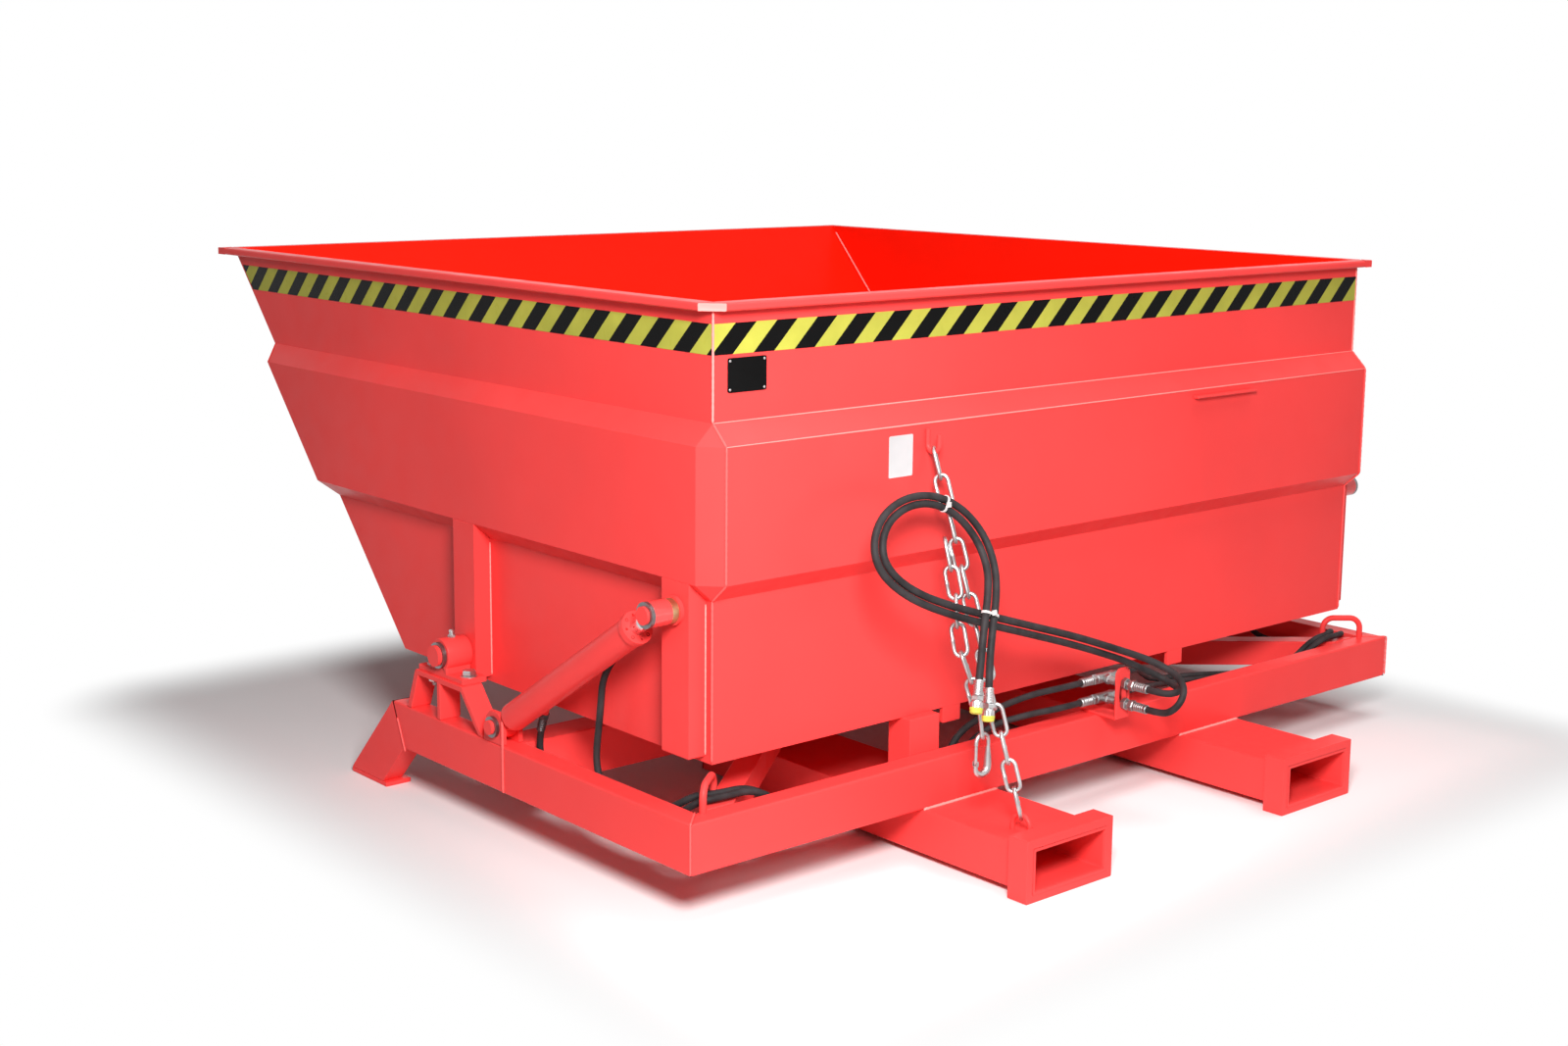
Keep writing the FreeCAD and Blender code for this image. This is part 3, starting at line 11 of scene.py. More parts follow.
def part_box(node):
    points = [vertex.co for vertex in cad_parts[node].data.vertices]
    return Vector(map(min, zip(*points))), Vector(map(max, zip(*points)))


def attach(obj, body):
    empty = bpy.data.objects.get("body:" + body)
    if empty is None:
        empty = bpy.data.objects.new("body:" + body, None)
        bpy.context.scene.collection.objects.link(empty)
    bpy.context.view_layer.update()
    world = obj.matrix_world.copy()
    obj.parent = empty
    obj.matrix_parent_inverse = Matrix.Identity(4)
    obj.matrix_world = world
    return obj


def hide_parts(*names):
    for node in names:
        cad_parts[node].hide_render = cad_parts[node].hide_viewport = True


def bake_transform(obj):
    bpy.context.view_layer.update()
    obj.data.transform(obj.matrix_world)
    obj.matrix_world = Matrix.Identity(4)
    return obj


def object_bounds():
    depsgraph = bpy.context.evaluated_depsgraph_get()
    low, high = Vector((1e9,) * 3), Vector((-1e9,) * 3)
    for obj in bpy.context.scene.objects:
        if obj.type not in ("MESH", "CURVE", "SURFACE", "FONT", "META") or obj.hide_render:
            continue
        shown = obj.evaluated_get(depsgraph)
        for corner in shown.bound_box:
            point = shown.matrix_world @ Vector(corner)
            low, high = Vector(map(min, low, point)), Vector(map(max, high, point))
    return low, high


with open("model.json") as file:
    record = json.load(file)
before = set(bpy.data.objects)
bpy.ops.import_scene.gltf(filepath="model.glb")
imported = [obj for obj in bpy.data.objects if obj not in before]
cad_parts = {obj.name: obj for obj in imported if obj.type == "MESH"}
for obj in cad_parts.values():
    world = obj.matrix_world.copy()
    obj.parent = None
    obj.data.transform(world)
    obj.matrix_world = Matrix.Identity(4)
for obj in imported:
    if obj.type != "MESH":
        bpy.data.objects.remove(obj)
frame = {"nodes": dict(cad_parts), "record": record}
CAD_BOX = [list(corner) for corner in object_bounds()]

bl_info = {
    "name": "Tipping skip finish",
    "version": (1, 0, 0),
    "blender": (4, 5, 0),
    "location": "View3D > Sidebar > Skip",
    "description": "Paint, hoses, hazard tape, welds and fittings of a tipping skip",
    "category": "Object",
}

# Places on the skip, in millimetres from its middle, the hopper's rear face and the hopper's floor
MM = 0.001
FLOOR_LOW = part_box("hopper_floor")[0]
REAR = FLOOR_LOW.y
BASE = FLOOR_LOW.z
SIDE = 1000.0
FRONT_FOOT = 1106.0
FRONT_TOP = 1890.0
RIM_LOW = 849.0
RIM_TOP = 865.0
SWAGE_OUT = -40.0
SWAGE_LOW = (313.0, 348.0)
SWAGE_HIGH = (605.0, 644.0)
PIVOT_Y = 788.0
LOWER_PIN = (575.0, -39.0)
UPPER_PIN = (60.0, 292.0)
CYLINDER_X = 1083.5
RIGHT = Vector((1.0, 0.0, 0.0))
FORWARD = Vector((0.0, 1.0, 0.0))
UP = Vector((0.0, 0.0, 1.0))


def at(x, y, z):
    """A place in millimetres from the hopper's rear face and floor, as metres in the frame."""
    return Vector((x * MM, REAR + y * MM, BASE + z * MM))


def front_at(height, inset):
    """How far forward the sloping front wall lies at a height, less an inset, in millimetres."""
    return FRONT_FOOT + (FRONT_TOP - FRONT_FOOT) / RIM_TOP * height - inset


def rod_axis():
    """The way from a cylinder's lower pin to its upper pin."""
    return (at(0.0, *UPPER_PIN) - at(0.0, *LOWER_PIN)).normalized()


# Properties


def colour(name, what, value):
    return FloatVectorProperty(
        name=name, description=what, subtype="COLOR", size=3, min=0.0, max=1.0, default=value,
    )


def length(name, what, value):
    return FloatProperty(
        name=name, description=what, subtype="DISTANCE", unit="LENGTH", min=0.0, default=value,
    )


def rotation(name, what, value):
    return FloatProperty(name=name, description=what, subtype="ANGLE", default=value)


def amount(name, what, value, least=0.0):
    return FloatProperty(name=name, description=what, min=least, default=value)


class SkipFinish(bpy.types.PropertyGroup):
    """Colours of the finishes."""

    paint: colour("Paint", "Red enamel on the outside", (0.915, 0.0605, 0.058))
    # Painted light: the same enamel as outside, made a deeper red inside the hopper for the red light that
    # bounces between the walls and for the missing white sheen
    paint_inside_painted_bounce: colour("Inside paint", "Red enamel inside the hopper", (1.0, 0.0128, 0.003))
    # Painted highlight: the beads' enamel is a lighter copy of the outside red, for the light that catches
    # the rounded beads
    weld: colour("Weld", "Painted weld beads", (1.0, 0.116, 0.11))
    # Painted highlight: a much paler copy of the red enamel, for the light caught by rounded beads, bends and
    # the rim's corner facet
    weld_painted_highlight: colour("Pale weld", "Weld beads that lie in the light", (1.0, 0.293, 0.268))
    steel: colour("Steel", "Turned rings and rods", (0.634, 0.634, 0.646))
    zinc: colour("Zinc", "Chain and hydraulic fittings", (0.512, 0.50, 0.50))
    brass: colour("Bronze", "Thrust washers", (0.512, 0.39, 0.207))
    rubber: colour("Rubber", "Hose cover", (0.021, 0.018, 0.019))
    cap: colour("Dust cap", "Yellow dust caps", (0.60, 0.60, 0.085))
    nylon: colour("Nylon", "Hose ties", (0.66, 0.62, 0.61))
    tape_yellow: colour("Tape yellow", "Bright stripes of the hazard tape", (0.451, 0.445, 0.067))
    tape_black: colour("Tape black", "Dark stripes of the hazard tape", (0.003, 0.003, 0.003))
    sticker: colour("Sticker", "Bare paper sticker", (0.60, 0.585, 0.59))
    ground: colour("Floor", "Studio floor", (0.90, 0.90, 0.90))


class SkipSizes(bpy.types.PropertyGroup):
    """Sizes of the pieces that are added to the frame."""

    hose: length("Hose", "Outside diameter of the free hoses", 0.015)
    line: length("Line", "Outside diameter of the cylinder lines", 0.014)
    tape_low: length("Tape height", "Lower edge of the tape above the hopper's floor", 0.768)
    tape_width: length("Tape width", "Width of the tape", 0.057)
    stripe: length("Stripe pitch", "One yellow and one black stripe", 0.100)
    weld: length("Weld", "Radius of a weld bead", 0.0026)
    link: length("Link", "Outside width of a chain link", 0.034)
    link_bar: length("Link bar", "Diameter of the chain's bar", 0.0082)
    edge: length("Edge", "Rounding of the plates' edges; the tubes' is larger", 0.0025)


class SkipStage(bpy.types.PropertyGroup):
    """Camera and studio light."""

    spot: FloatVectorProperty(
        name="Camera", description="Place of the camera", subtype="TRANSLATION", unit="LENGTH", size=3,
        default=(-3.3374, -3.6660, 1.4730),
    )
    heading: rotation("Heading", "Turn to the right of +Y", 0.70756)
    tilt: rotation("Tilt", "Tilt above the horizon", -0.17020)
    roll: rotation("Roll", "Turn about the line of sight", 0.00787)
    lens: amount("Lens", "Focal length in millimetres", 47.49, 1.0)
    key: amount("Key lamp", "Watts of the lamp beside the camera", 157.5)
    side: amount("Right lamp", "Watts of the lamp on the right", 4.1)
    top: amount("Top lamp", "Watts of the lamp above", 78.0)
    air: amount("Room light", "Even light from all round", 0.156)


# Finishes

EVEN = (1.0, 1.0, 1.0)
TURNED = (1.0, 6.0, 6.0)
# Where the noise is taken as dark and light, and as low and high gloss
TINT_STOPS = (0.32, 0.68)
GLOSS_SPAN = (0.3, 0.7)
# Where a rod's paint begins, in metres from the cylinder's lower pin
PAINTED_FROM = 0.5855
PAINTED_TO = 0.5865


def opaque(tint):
    return (tint[0], tint[1], tint[2], 1.0)


def scaled(tint, factor):
    return tuple(min(1.0, part * factor) for part in tint)


def shader_of(material):
    return material.node_tree.nodes["Principled BSDF"]


def add_node(tree, kind, **settings):
    """A new shader node with its settings."""
    made = tree.nodes.new("ShaderNode" + kind)
    for name, value in settings.items():
        setattr(made, name, value)
    return made


def fed_node(tree, source, kind, **settings):
    """A new shader node that takes the source at its first input."""
    made = add_node(tree, kind, **settings)
    tree.links.new(source, made.inputs[0])
    return made


def own_place(tree):
    """Coordinates along the piece's own axes."""
    return add_node(tree, "TexCoord").outputs["Object"]


def finish(name, tint, metallic, gloss, shine=None):
    """A new material whose even values are on the shader itself."""
    material = bpy.data.materials.new(name)
    material.use_nodes = True
    inputs = shader_of(material).inputs
    inputs["Base Color"].default_value = opaque(tint)
    inputs["Metallic"].default_value = metallic
    inputs["Roughness"].default_value = gloss
    if shine is not None:
        inputs["Specular IOR Level"].default_value = shine
    return material


def grain(material, scale, detail, stretch=EVEN):
    """Noise in the piece's own coordinates, stretched along its axes."""
    tree = material.node_tree
    size = fed_node(tree, own_place(tree), "Mapping")
    size.inputs["Scale"].default_value = stretch
    noise = fed_node(tree, size.outputs["Vector"], "TexNoise")
    noise.inputs["Scale"].default_value = scale
    noise.inputs["Detail"].default_value = detail
    return noise.outputs["Fac"]


def cells(material, scale):
    """Small round cells in the piece's own coordinates."""
    tree = material.node_tree
    cell = fed_node(tree, own_place(tree), "TexVoronoi")
    cell.inputs["Scale"].default_value = scale
    return cell.outputs["Distance"]


def tint_by(material, source, tint, dark, light):
    """The colour goes from a darker to a lighter share of the tint with the source."""
    tree = material.node_tree
    ramp = fed_node(tree, source, "ValToRGB")
    for stop, position, share in zip(ramp.color_ramp.elements, TINT_STOPS, (dark, light)):
        stop.position = position
        stop.color = opaque(scaled(tint, share))
    tree.links.new(ramp.outputs["Color"], shader_of(material).inputs["Base Color"])


def gloss_by(material, source, low, high):
    """The roughness goes from low to high with the source."""
    tree = material.node_tree
    span = fed_node(tree, source, "MapRange")
    for limit, value in zip(("From Min", "From Max", "To Min", "To Max"), (*GLOSS_SPAN, low, high)):
        span.inputs[limit].default_value = value
    tree.links.new(span.outputs["Result"], shader_of(material).inputs["Roughness"])


def relief_by(material, source, depth, strength, under=None):
    """Bumps of that depth in metres, over another bump if one is given."""
    tree = material.node_tree
    bump = add_node(tree, "Bump")
    bump.inputs["Distance"].default_value = depth
    bump.inputs["Strength"].default_value = strength
    tree.links.new(source, bump.inputs["Height"])
    if under is not None:
        tree.links.new(under.outputs["Normal"], bump.inputs["Normal"])
    tree.links.new(bump.outputs["Normal"], shader_of(material).inputs["Normal"])
    return bump


def enamel(name, tint, waves, shine):
    """Sprayed enamel: orange peel, faint cloudiness and the slow waves of welded sheet."""
    material = finish(name, tint, 0.0, 0.3, shine)
    tint_by(material, grain(material, 2.2, 5.0), tint, 0.94, 1.04)
    gloss_by(material, grain(material, 18.0, 6.0), 0.30, 0.42)
    slow = relief_by(material, grain(material, 1.6, 1.0), waves, 0.4)
    relief_by(material, grain(material, 180.0, 2.0), 0.0004, 0.10, slow)
    return material


def metal(name, tint, low, high, stretch=EVEN):
    """Bare or plated metal with fine tool marks."""
    material = finish(name, tint, 1.0, low)
    tint_by(material, grain(material, 45.0, 5.0), tint, 0.80, 1.10)
    gloss_by(material, grain(material, 30.0, 6.0), low, high)
    relief_by(material, grain(material, 400.0, 3.0, stretch), 0.0004, 0.35)
    return material


def two_tone_rod(name, chrome, tint):
    """A bright rod whose eye end is painted: the change lies along the cylinder's axis."""
    material = metal(name, chrome, 0.12, 0.22)
    tree = material.node_tree
    shader = shader_of(material)
    axis = rod_axis()
    along = fed_node(tree, own_place(tree), "VectorMath", operation="DOT_PRODUCT")
    along.inputs[1].default_value = axis
    lower_pin = at(0.0, *LOWER_PIN).dot(axis)
    step = fed_node(tree, along.outputs["Value"], "MapRange")
    step.inputs["From Min"].default_value = lower_pin + PAINTED_FROM
    step.inputs["From Max"].default_value = lower_pin + PAINTED_TO
    painted = fed_node(tree, step.outputs["Result"], "Mix", data_type="RGBA")
    bare_colour = shader.inputs["Base Color"].links[0].from_socket
    tree.links.new(bare_colour, painted.inputs["A"])
    painted.inputs["B"].default_value = opaque(tint)
    tree.links.new(painted.outputs["Result"], shader.inputs["Base Color"])
    bare = add_node(tree, "Math", operation="SUBTRACT")
    bare.inputs[0].default_value = 1.0
    tree.links.new(step.outputs["Result"], bare.inputs[1])
    tree.links.new(bare.outputs["Value"], shader.inputs["Metallic"])
    return material


def rubber(name, tint):
    """Hose cover with the print of the wrapping cloth."""
    material = finish(name, tint, 0.0, 0.5, 0.2)
    tint_by(material, grain(material, 25.0, 5.0), tint, 0.7, 1.9)
    gloss_by(material, grain(material, 40.0, 5.0), 0.55, 0.75)
    relief_by(material, grain(material, 600.0, 2.0), 0.0008, 0.4)
    return material


def plastic(name, tint, shine):
    """Moulded plastic with a fine grain."""
    material = finish(name, tint, 0.0, 0.42, shine)
    tint_by(material, grain(material, 60.0, 4.0), tint, 0.88, 1.08)
    gloss_by(material, grain(material, 80.0, 4.0), 0.34, 0.5)
    relief_by(material, grain(material, 500.0, 2.0), 0.0004, 0.25)
    return material


def tape_film(name, tint):
    """Reflective tape with its small beads under a clear film."""
    material = finish(name, tint, 0.0, 0.3, 0.05)
    tint_by(material, grain(material, 9.0, 5.0), tint, 0.86, 1.08)
    gloss_by(material, grain(material, 35.0, 4.0), 0.24, 0.40)
    relief_by(material, cells(material, 420.0), 0.0004, 0.3)
    return material


def paper(name, tint):
    """Bare paper under a satin film."""
    material = finish(name, tint, 0.0, 0.45)
    tint_by(material, grain(material, 14.0, 6.0), tint, 0.93, 1.04)
    gloss_by(material, grain(material, 50.0, 4.0), 0.36, 0.52)
    relief_by(material, grain(material, 30.0, 3.0), 0.0012, 0.3)
    return material


FINISHES = {}


def finishes():
    """Makes each finish once; the record's slots are among the names."""
    if FINISHES:
        return FINISHES
    tints = bpy.context.scene.skip_finish
    FINISHES.update({
        "red_paint": enamel("red_enamel", tints.paint, 0.0025, 0.12),
        "sheet_paint": enamel("red_enamel_sheet", tints.paint, 0.010, 0.12),
        # Painted bounce light: the deeper red copy of the enamel for the inside faces
        "inside_paint_painted_bounce": enamel("red_enamel_inside", tints.paint_inside_painted_bounce, 0.010, 0.05),
        # Painted highlight: the lighter copy of the enamel for weld beads
        "weld": enamel("red_enamel_weld", tints.weld, 0.002, 0.15),
        # Painted highlight: the pale copy of the enamel
        "weld_painted_highlight": enamel("red_enamel_pale", tints.weld_painted_highlight, 0.002, 0.25),
        "dark_steel": metal("blackened_steel", scaled(tints.steel, 0.16), 0.38, 0.55),
        "zinc_plate": metal("bright_zinc", tints.zinc, 0.30, 0.46),
        "bright_steel": metal("dark_turned_steel", scaled(tints.steel, 0.36), 0.30, 0.48, TURNED),
        "dull_zinc": metal("dull_zinc", scaled(tints.zinc, 0.62), 0.38, 0.56),
        "brass": metal("dull_bronze", tints.brass, 0.35, 0.5),
        "rod": two_tone_rod("chromed_rod", tints.steel, tints.paint),
        "black_rubber": rubber("hose_rubber", tints.rubber),
        "black_nylon": plastic("tie_nylon", tints.nylon, 0.3),
        "yellow_plastic": plastic("cap_plastic", tints.cap, 0.3),
        "tape_yellow": tape_film("tape_yellow", tints.tape_yellow),
        "tape_black": tape_film("tape_black", tints.tape_black),
        "plate_black": plastic("plate_black", tints.tape_black, 0.06),
        "sticker": paper("sticker_paper", tints.sticker),
    })
    return FINISHES


# Shapes

# Weld bead: the ripple's pitch in metres, then shares of the bead's radius
RIPPLE = 0.006
BEAD_LOW, BEAD_RISE, BEAD_END = 0.84, 0.16, 0.55
BEAD_WANDER, WANDER_TURN = 0.05, 1.7
# Profiles as shares of the length and of the radius: a chamfered nut and a crimped ferrule
NUT = ((0.0, 0.88), (0.16, 1.0), (0.84, 1.0), (1.0, 0.88))
CRIMP = ((0.0, 1.0), (0.22, 0.90), (0.62, 0.90), (0.84, 1.0))
CRIMPS, CRIMP_START, CRIMP_RUN = 5, 0.12, 0.76
FERRULE_FOOT = [(0.0, 0.86), (0.05, 1.0)]
FERRULE_TOP = [(0.95, 1.0), (1.0, 0.84)]
# Plates: how far they sit in the wall, in metres, and the slope and the least corner as shares
PLAQUE_FOOT = -0.0004
BORDER_SLOPE = 1.3
LEAST_CORNER = 0.4


def basis(axis):
    """Two sides square to an axis, and the axis as a unit vector."""
    way = Vector(axis).normalized()
    side = way.orthogonal().normalized()
    return side, way.cross(side), way


def join_rings(bm, low, high):
    """The faces between two rings of as many points."""
    faces = []
    for step in range(len(low)):
        after = (step + 1) % len(low)
        faces.append(bm.faces.new((low[step], low[after], high[after], high[step])))
    return faces


def turned(bm, origin, axis, profile, count, knurl=0.0, phase=0.0, index=0):
    """A turned or many-sided body: the profile is pairs of distance along the axis and radius, in metres."""
    side, other, way = basis(axis)
    rings = []
    for along, radius in profile:
        ring = []
        for step in range(count):
            angle = phase + math.tau * step / count
            reach = radius * (1.0 - knurl * (step % 2))
            spot = origin + way * along + (side * math.cos(angle) + other * math.sin(angle)) * reach
            ring.append(bm.verts.new(spot))
        rings.append(ring)
    faces = [bm.faces.new(list(reversed(rings[0]))), bm.faces.new(rings[-1])]
    for low, high in zip(rings, rings[1:]):
        faces += join_rings(bm, low, high)
    for face in faces:
        face.material_index = index


def sized(shares, reach, radius):
    """A profile from shares of a length and of a radius."""
    return [(reach * along, radius * thick) for along, thick in shares]


def thread(start, pitch, turns, root, crest):
    """Profile of a thread, as a row of grooves."""
    return [(start + pitch * groove, crest if groove % 2 else root) for groove in range(turns)]


def hexagon(bm, origin, axis, radius, height, phase=0.0):
    """A nut or bolt head with its corners chamfered at both ends."""
    turned(bm, origin, axis, sized(NUT, height, radius), 6, phase=phase)


def crimped(bm, origin, axis, radius, reach):
    """A hose ferrule with its crimped flats and end beads."""
    shares = list(FERRULE_FOOT)
    for crimp in range(CRIMPS):
        shares += [(CRIMP_START + CRIMP_RUN * (crimp + along) / CRIMPS, thick) for along, thick in CRIMP]
    turned(bm, origin, axis, sized(shares + FERRULE_TOP, reach, radius), 16)


def bead(bm, first, last, radius, pitch=RIPPLE):
    """A rippled weld run along a straight stretch."""
    run = last - first
    steps = max(2, int(run.length / pitch))
    profile = []
    for step in range(steps + 1):
        swell = BEAD_LOW + BEAD_RISE * (step % 2) + BEAD_WANDER * math.sin(step * WANDER_TURN)
        if step in (0, steps):
            swell = BEAD_END
        profile.append((run.length * step / steps, radius * swell))
    turned(bm, first, run, profile, 7)


def rounded_outline(width, height, corner, steps=5):
    """Corner-rounded rectangle round the origin as pairs."""
    outline = []
    for quarter in range(4):
        mid_x = (width / 2 - corner) * (1 if quarter in (0, 3) else -1)
        mid_y = (height / 2 - corner) * (1 if quarter in (0, 1) else -1)
        for step in range(steps + 1):
            angle = math.pi / 2 * (quarter + step / steps)
            outline.append((mid_x + corner * math.cos(angle), mid_y + corner * math.sin(angle)))
    return outline


def plaque(bm, centre, right, size, corner, thickness, border, sink):
    """An upright thin plate with rounded corners, a raised border and a field that lies a little lower."""
    out = right.cross(UP)
    field = (-border * BORDER_SLOPE, thickness - sink)
    levels = ((0.0, PLAQUE_FOOT), (0.0, thickness), (-border, thickness), field)
    loops = []
    for grow, lift in levels:
        width, height = (side + grow * 2 for side in size)
        outline = rounded_outline(width, height, max(corner + grow, corner * LEAST_CORNER))
        loops.append([bm.verts.new(centre + right * x + UP * y + out * lift) for x, y in outline])
    for low, high in zip(loops, loops[1:]):
        join_rings(bm, low, high)
    bm.faces.new(loops[-1])
    bm.faces.new(list(reversed(loops[0])))


def swept(bm, stations, normal, sides=10):
    """A round bar in one plane: each station has its place, its outward way and its radius."""
    angles = [math.tau * side / sides for side in range(sides)]
    rings = []
    for place, out, thick in stations:
        ways = [out * math.cos(angle) + normal * math.sin(angle) for angle in angles]
        rings.append([bm.verts.new(place + way * thick) for way in ways])
    for low, high in zip(rings, rings[1:]):
        join_rings(bm, low, high)
    return rings


def placed(name, data):
    """A new object in the scene."""
    made = bpy.data.objects.new(name, data)
    bpy.context.scene.collection.objects.link(made)
    return made


def piece(name, bm, materials, body, angle=35.0):
    """Makes the mesh an object that rides on a body."""
    bmesh.ops.recalc_face_normals(bm, faces=bm.faces)
    mesh = bpy.data.meshes.new(name)
    bm.to_mesh(mesh)
    bm.free()
    for material in materials:
        mesh.materials.append(material)
    mesh.shade_smooth()
    mesh.set_sharp_from_angle(angle=math.radians(angle))
    made = placed(name, mesh)
    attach(made, body)
    return made


# Hoses and lines: the routes repeat those of the CAD part, in millimetres

HOSE_OUTER = [
    (35, -190, -40), (35, -218, -40), (36, -246, -35), (45, -265, -15), (63, -264, 8), (79, -244, 26),
    (85, -216, 38), (78, -190, 49), (60, -167, 61), (31, -150, 74), (-6, -140, 88), (-139, -140, 137),
    (-301, -166, 189), (-447, -195, 236), (-568, -201, 275), (-668, -192, 317), (-726, -178, 366),
    (-729, -163, 411), (-696, -148, 450), (-636, -136, 470), (-566, -128, 468), (-492, -124, 438),
    (-454, -144, 388), (-456, -180, 334), (-484, -208, 285), (-508, -222, 229), (-526, -234, 176),
    (-540, -243, 136),
]
HOSE_INNER = [
    (35, -190, 4), (35, -213, 4), (44, -236, 3), (66, -243, 4), (87, -230, 6), (96, -206, 9), (95, -183, 15),
    (83, -163, 26), (59, -149, 39), (30, -139, 54), (-7, -131, 70), (-144, -140, 120), (-306, -166, 173),
    (-452, -195, 220), (-574, -201, 260), (-678, -192, 305), (-743, -178, 359), (-751, -163, 414),
    (-714, -148, 462), (-646, -136, 486), (-564, -128, 484), (-478, -124, 449), (-433, -144, 394),
    (-435, -180, 334), (-460, -208, 280), (-484, -222, 223), (-502, -234, 170), (-512, -243, 116),
]
HIGH_LINE = [
    (-1040, 179.9, 215), (-1040, 285, 147.4), (-1038, 303, 25), (-1040, 316, -62), (-1040, 292, -112),
    (-1040, 240, -132), (-1041, 135, -124), (-1040, 62, -88), (-1018, 28, -63), (-985, 6, -61),
    (-905, 3, -62),
]
LOW_LINE = [
    (-1040, 493, -8), (-1040, 513.1, -62.4), (-1040, 503, -112), (-1040, 470, -143), (-1040, 400, -152),
    (-1040, 230, -150), (-1041, 125, -141), (-1040, 52, -104), (-1034, 6, -68), (-997, -12, -62),
    (-905, -14, -62),
]
HIGH_LEFT = [
    (-840, 3, -106), (-700, 3, -139), (-560, 3, -143), (-410, 3, -141), (-364, 6, -102), (-332, 2, -58),
    (-246, -22, -21), (-170, -45, -2), (-118, -63, 4), (-78, -65, 4), (-37, -65, 4),
]
LOW_LEFT = [
    (-840, -14, -106), (-700, -14, -139), (-560, -14, -143), (-410, -14, -142), (-360, -13, -116),
    (-310, -10, -82), (-254, -18, -57), (-171, -46, -44), (-118, -63, -40), (-78, -65, -40), (-37, -65, -40),
]
HIGH_RIGHT = [
    (-820, 3, -104), (-740, 3, -112), (-640, 3, -104), (-510, 3, -84), (-390, 3, -68), (-270, -10, -52),
    (-200, -42, -22), (-158, -62, 2), (-128, -65, 4), (-91, -65, 4),
]
LOW_RIGHT = [
    (-820, -14, -104), (-740, -14, -112), (-640, -14, -106), (-510, -14, -88), (-390, -14, -74),
    (-270, -22, -62), (-200, -48, -50), (-158, -63, -41), (-128, -65, -40), (-91, -65, -40),
]
TIED_RUNS = (20, 24)
# Where the lines would start and stop bending with the barrel, as y and z; the lines are not made to bend
# there
HIGH_BEND = ((310, -20), (378, 116))
LOW_BEND = ((505, -60), (523, -23))

# Fittings at the ends of hoses and lines: the place along the cord, then sizes or a profile, in metres
FERRULE_SEAT, FERRULE_RADIUS, FERRULE_REACH = -0.001, 0.010, 0.031
NUT_SEAT, NUT_RADIUS, NUT_HEIGHT = 0.030, 0.0125, 0.009
NECK_SEAT, NECK = 0.039, ((0.0, 0.0095), (0.0025, 0.0095))
SLEEVE_SEAT, SLEEVE = 0.0415, ((0.0, 0.0115), (0.001, 0.0125), (0.0135, 0.0125), (0.0145, 0.0115))
CAP_SEAT = 0.056
CAP = (
    (-0.003, 0.0129), (-0.002, 0.0134), (0.0, 0.0134), (0.001, 0.0128), (0.0065, 0.0124), (0.0082, 0.0108),
    (0.009, 0.0084), (0.0086, 0.004),
)
LINE_NUT_SEAT, LINE_NUT_RADIUS, LINE_NUT_HEIGHT = -0.004, 0.0115, 0.012
LINE_FERRULE_SEAT, LINE_FERRULE_RADIUS, LINE_FERRULE_REACH = 0.008, 0.0092, 0.030
TIE_BAND = 0.001
TIE_HEAD = ((0.0, 0.0062), (0.0006, 0.0070), (0.0046, 0.0070), (0.0054, 0.0060))


def flipped(route):
    """The route's mirror image on the other side of the skip."""
    return [(-x, y, z) for x, y, z in route]


def spline(name, route, radius):
    """A smooth round cord whose control points are the route's points."""
    curve = bpy.data.curves.new(name, "CURVE")
    curve.dimensions = "3D"
    run = curve.splines.new("NURBS")
    run.points.add(len(route) - 1)
    for point, place in zip(run.points, route):
        point.co = (*at(*place), 1.0)
    run.order_u = 3
    run.use_endpoint_u = True
    run.resolution_u = 10
    curve.bevel_depth = radius
    curve.bevel_resolution = 4
    curve.use_fill_caps = True
    curve.materials.append(finishes()["black_rubber"])
    return placed(name, curve)


def mesh_of(cord):
    """The mesh that the cord's curve makes as it is now."""
    bpy.context.view_layer.update()
    graph = bpy.context.evaluated_depsgraph_get()
    return bpy.data.meshes.new_from_object(cord.evaluated_get(graph))


def line_points(cord):
    """The points along a cord's own smooth spline, and its length."""
    radius = cord.data.bevel_depth
    cord.data.bevel_depth = 0.0
    wire = mesh_of(cord)
    points = [vertex.co.copy() for vertex in wire.vertices]
    bpy.data.meshes.remove(wire)
    cord.data.bevel_depth = radius
    return points, sum((b - a).length for a, b in zip(points, points[1:]))


def tube_of(cord):
    """The cord's round surface as a mesh object."""
    mesh = mesh_of(cord)
    name = cord.name
    curve = cord.data
    bpy.data.objects.remove(cord)
    bpy.data.curves.remove(curve)
    mesh.name = name
    mesh.shade_smooth()
    return placed(name, mesh)


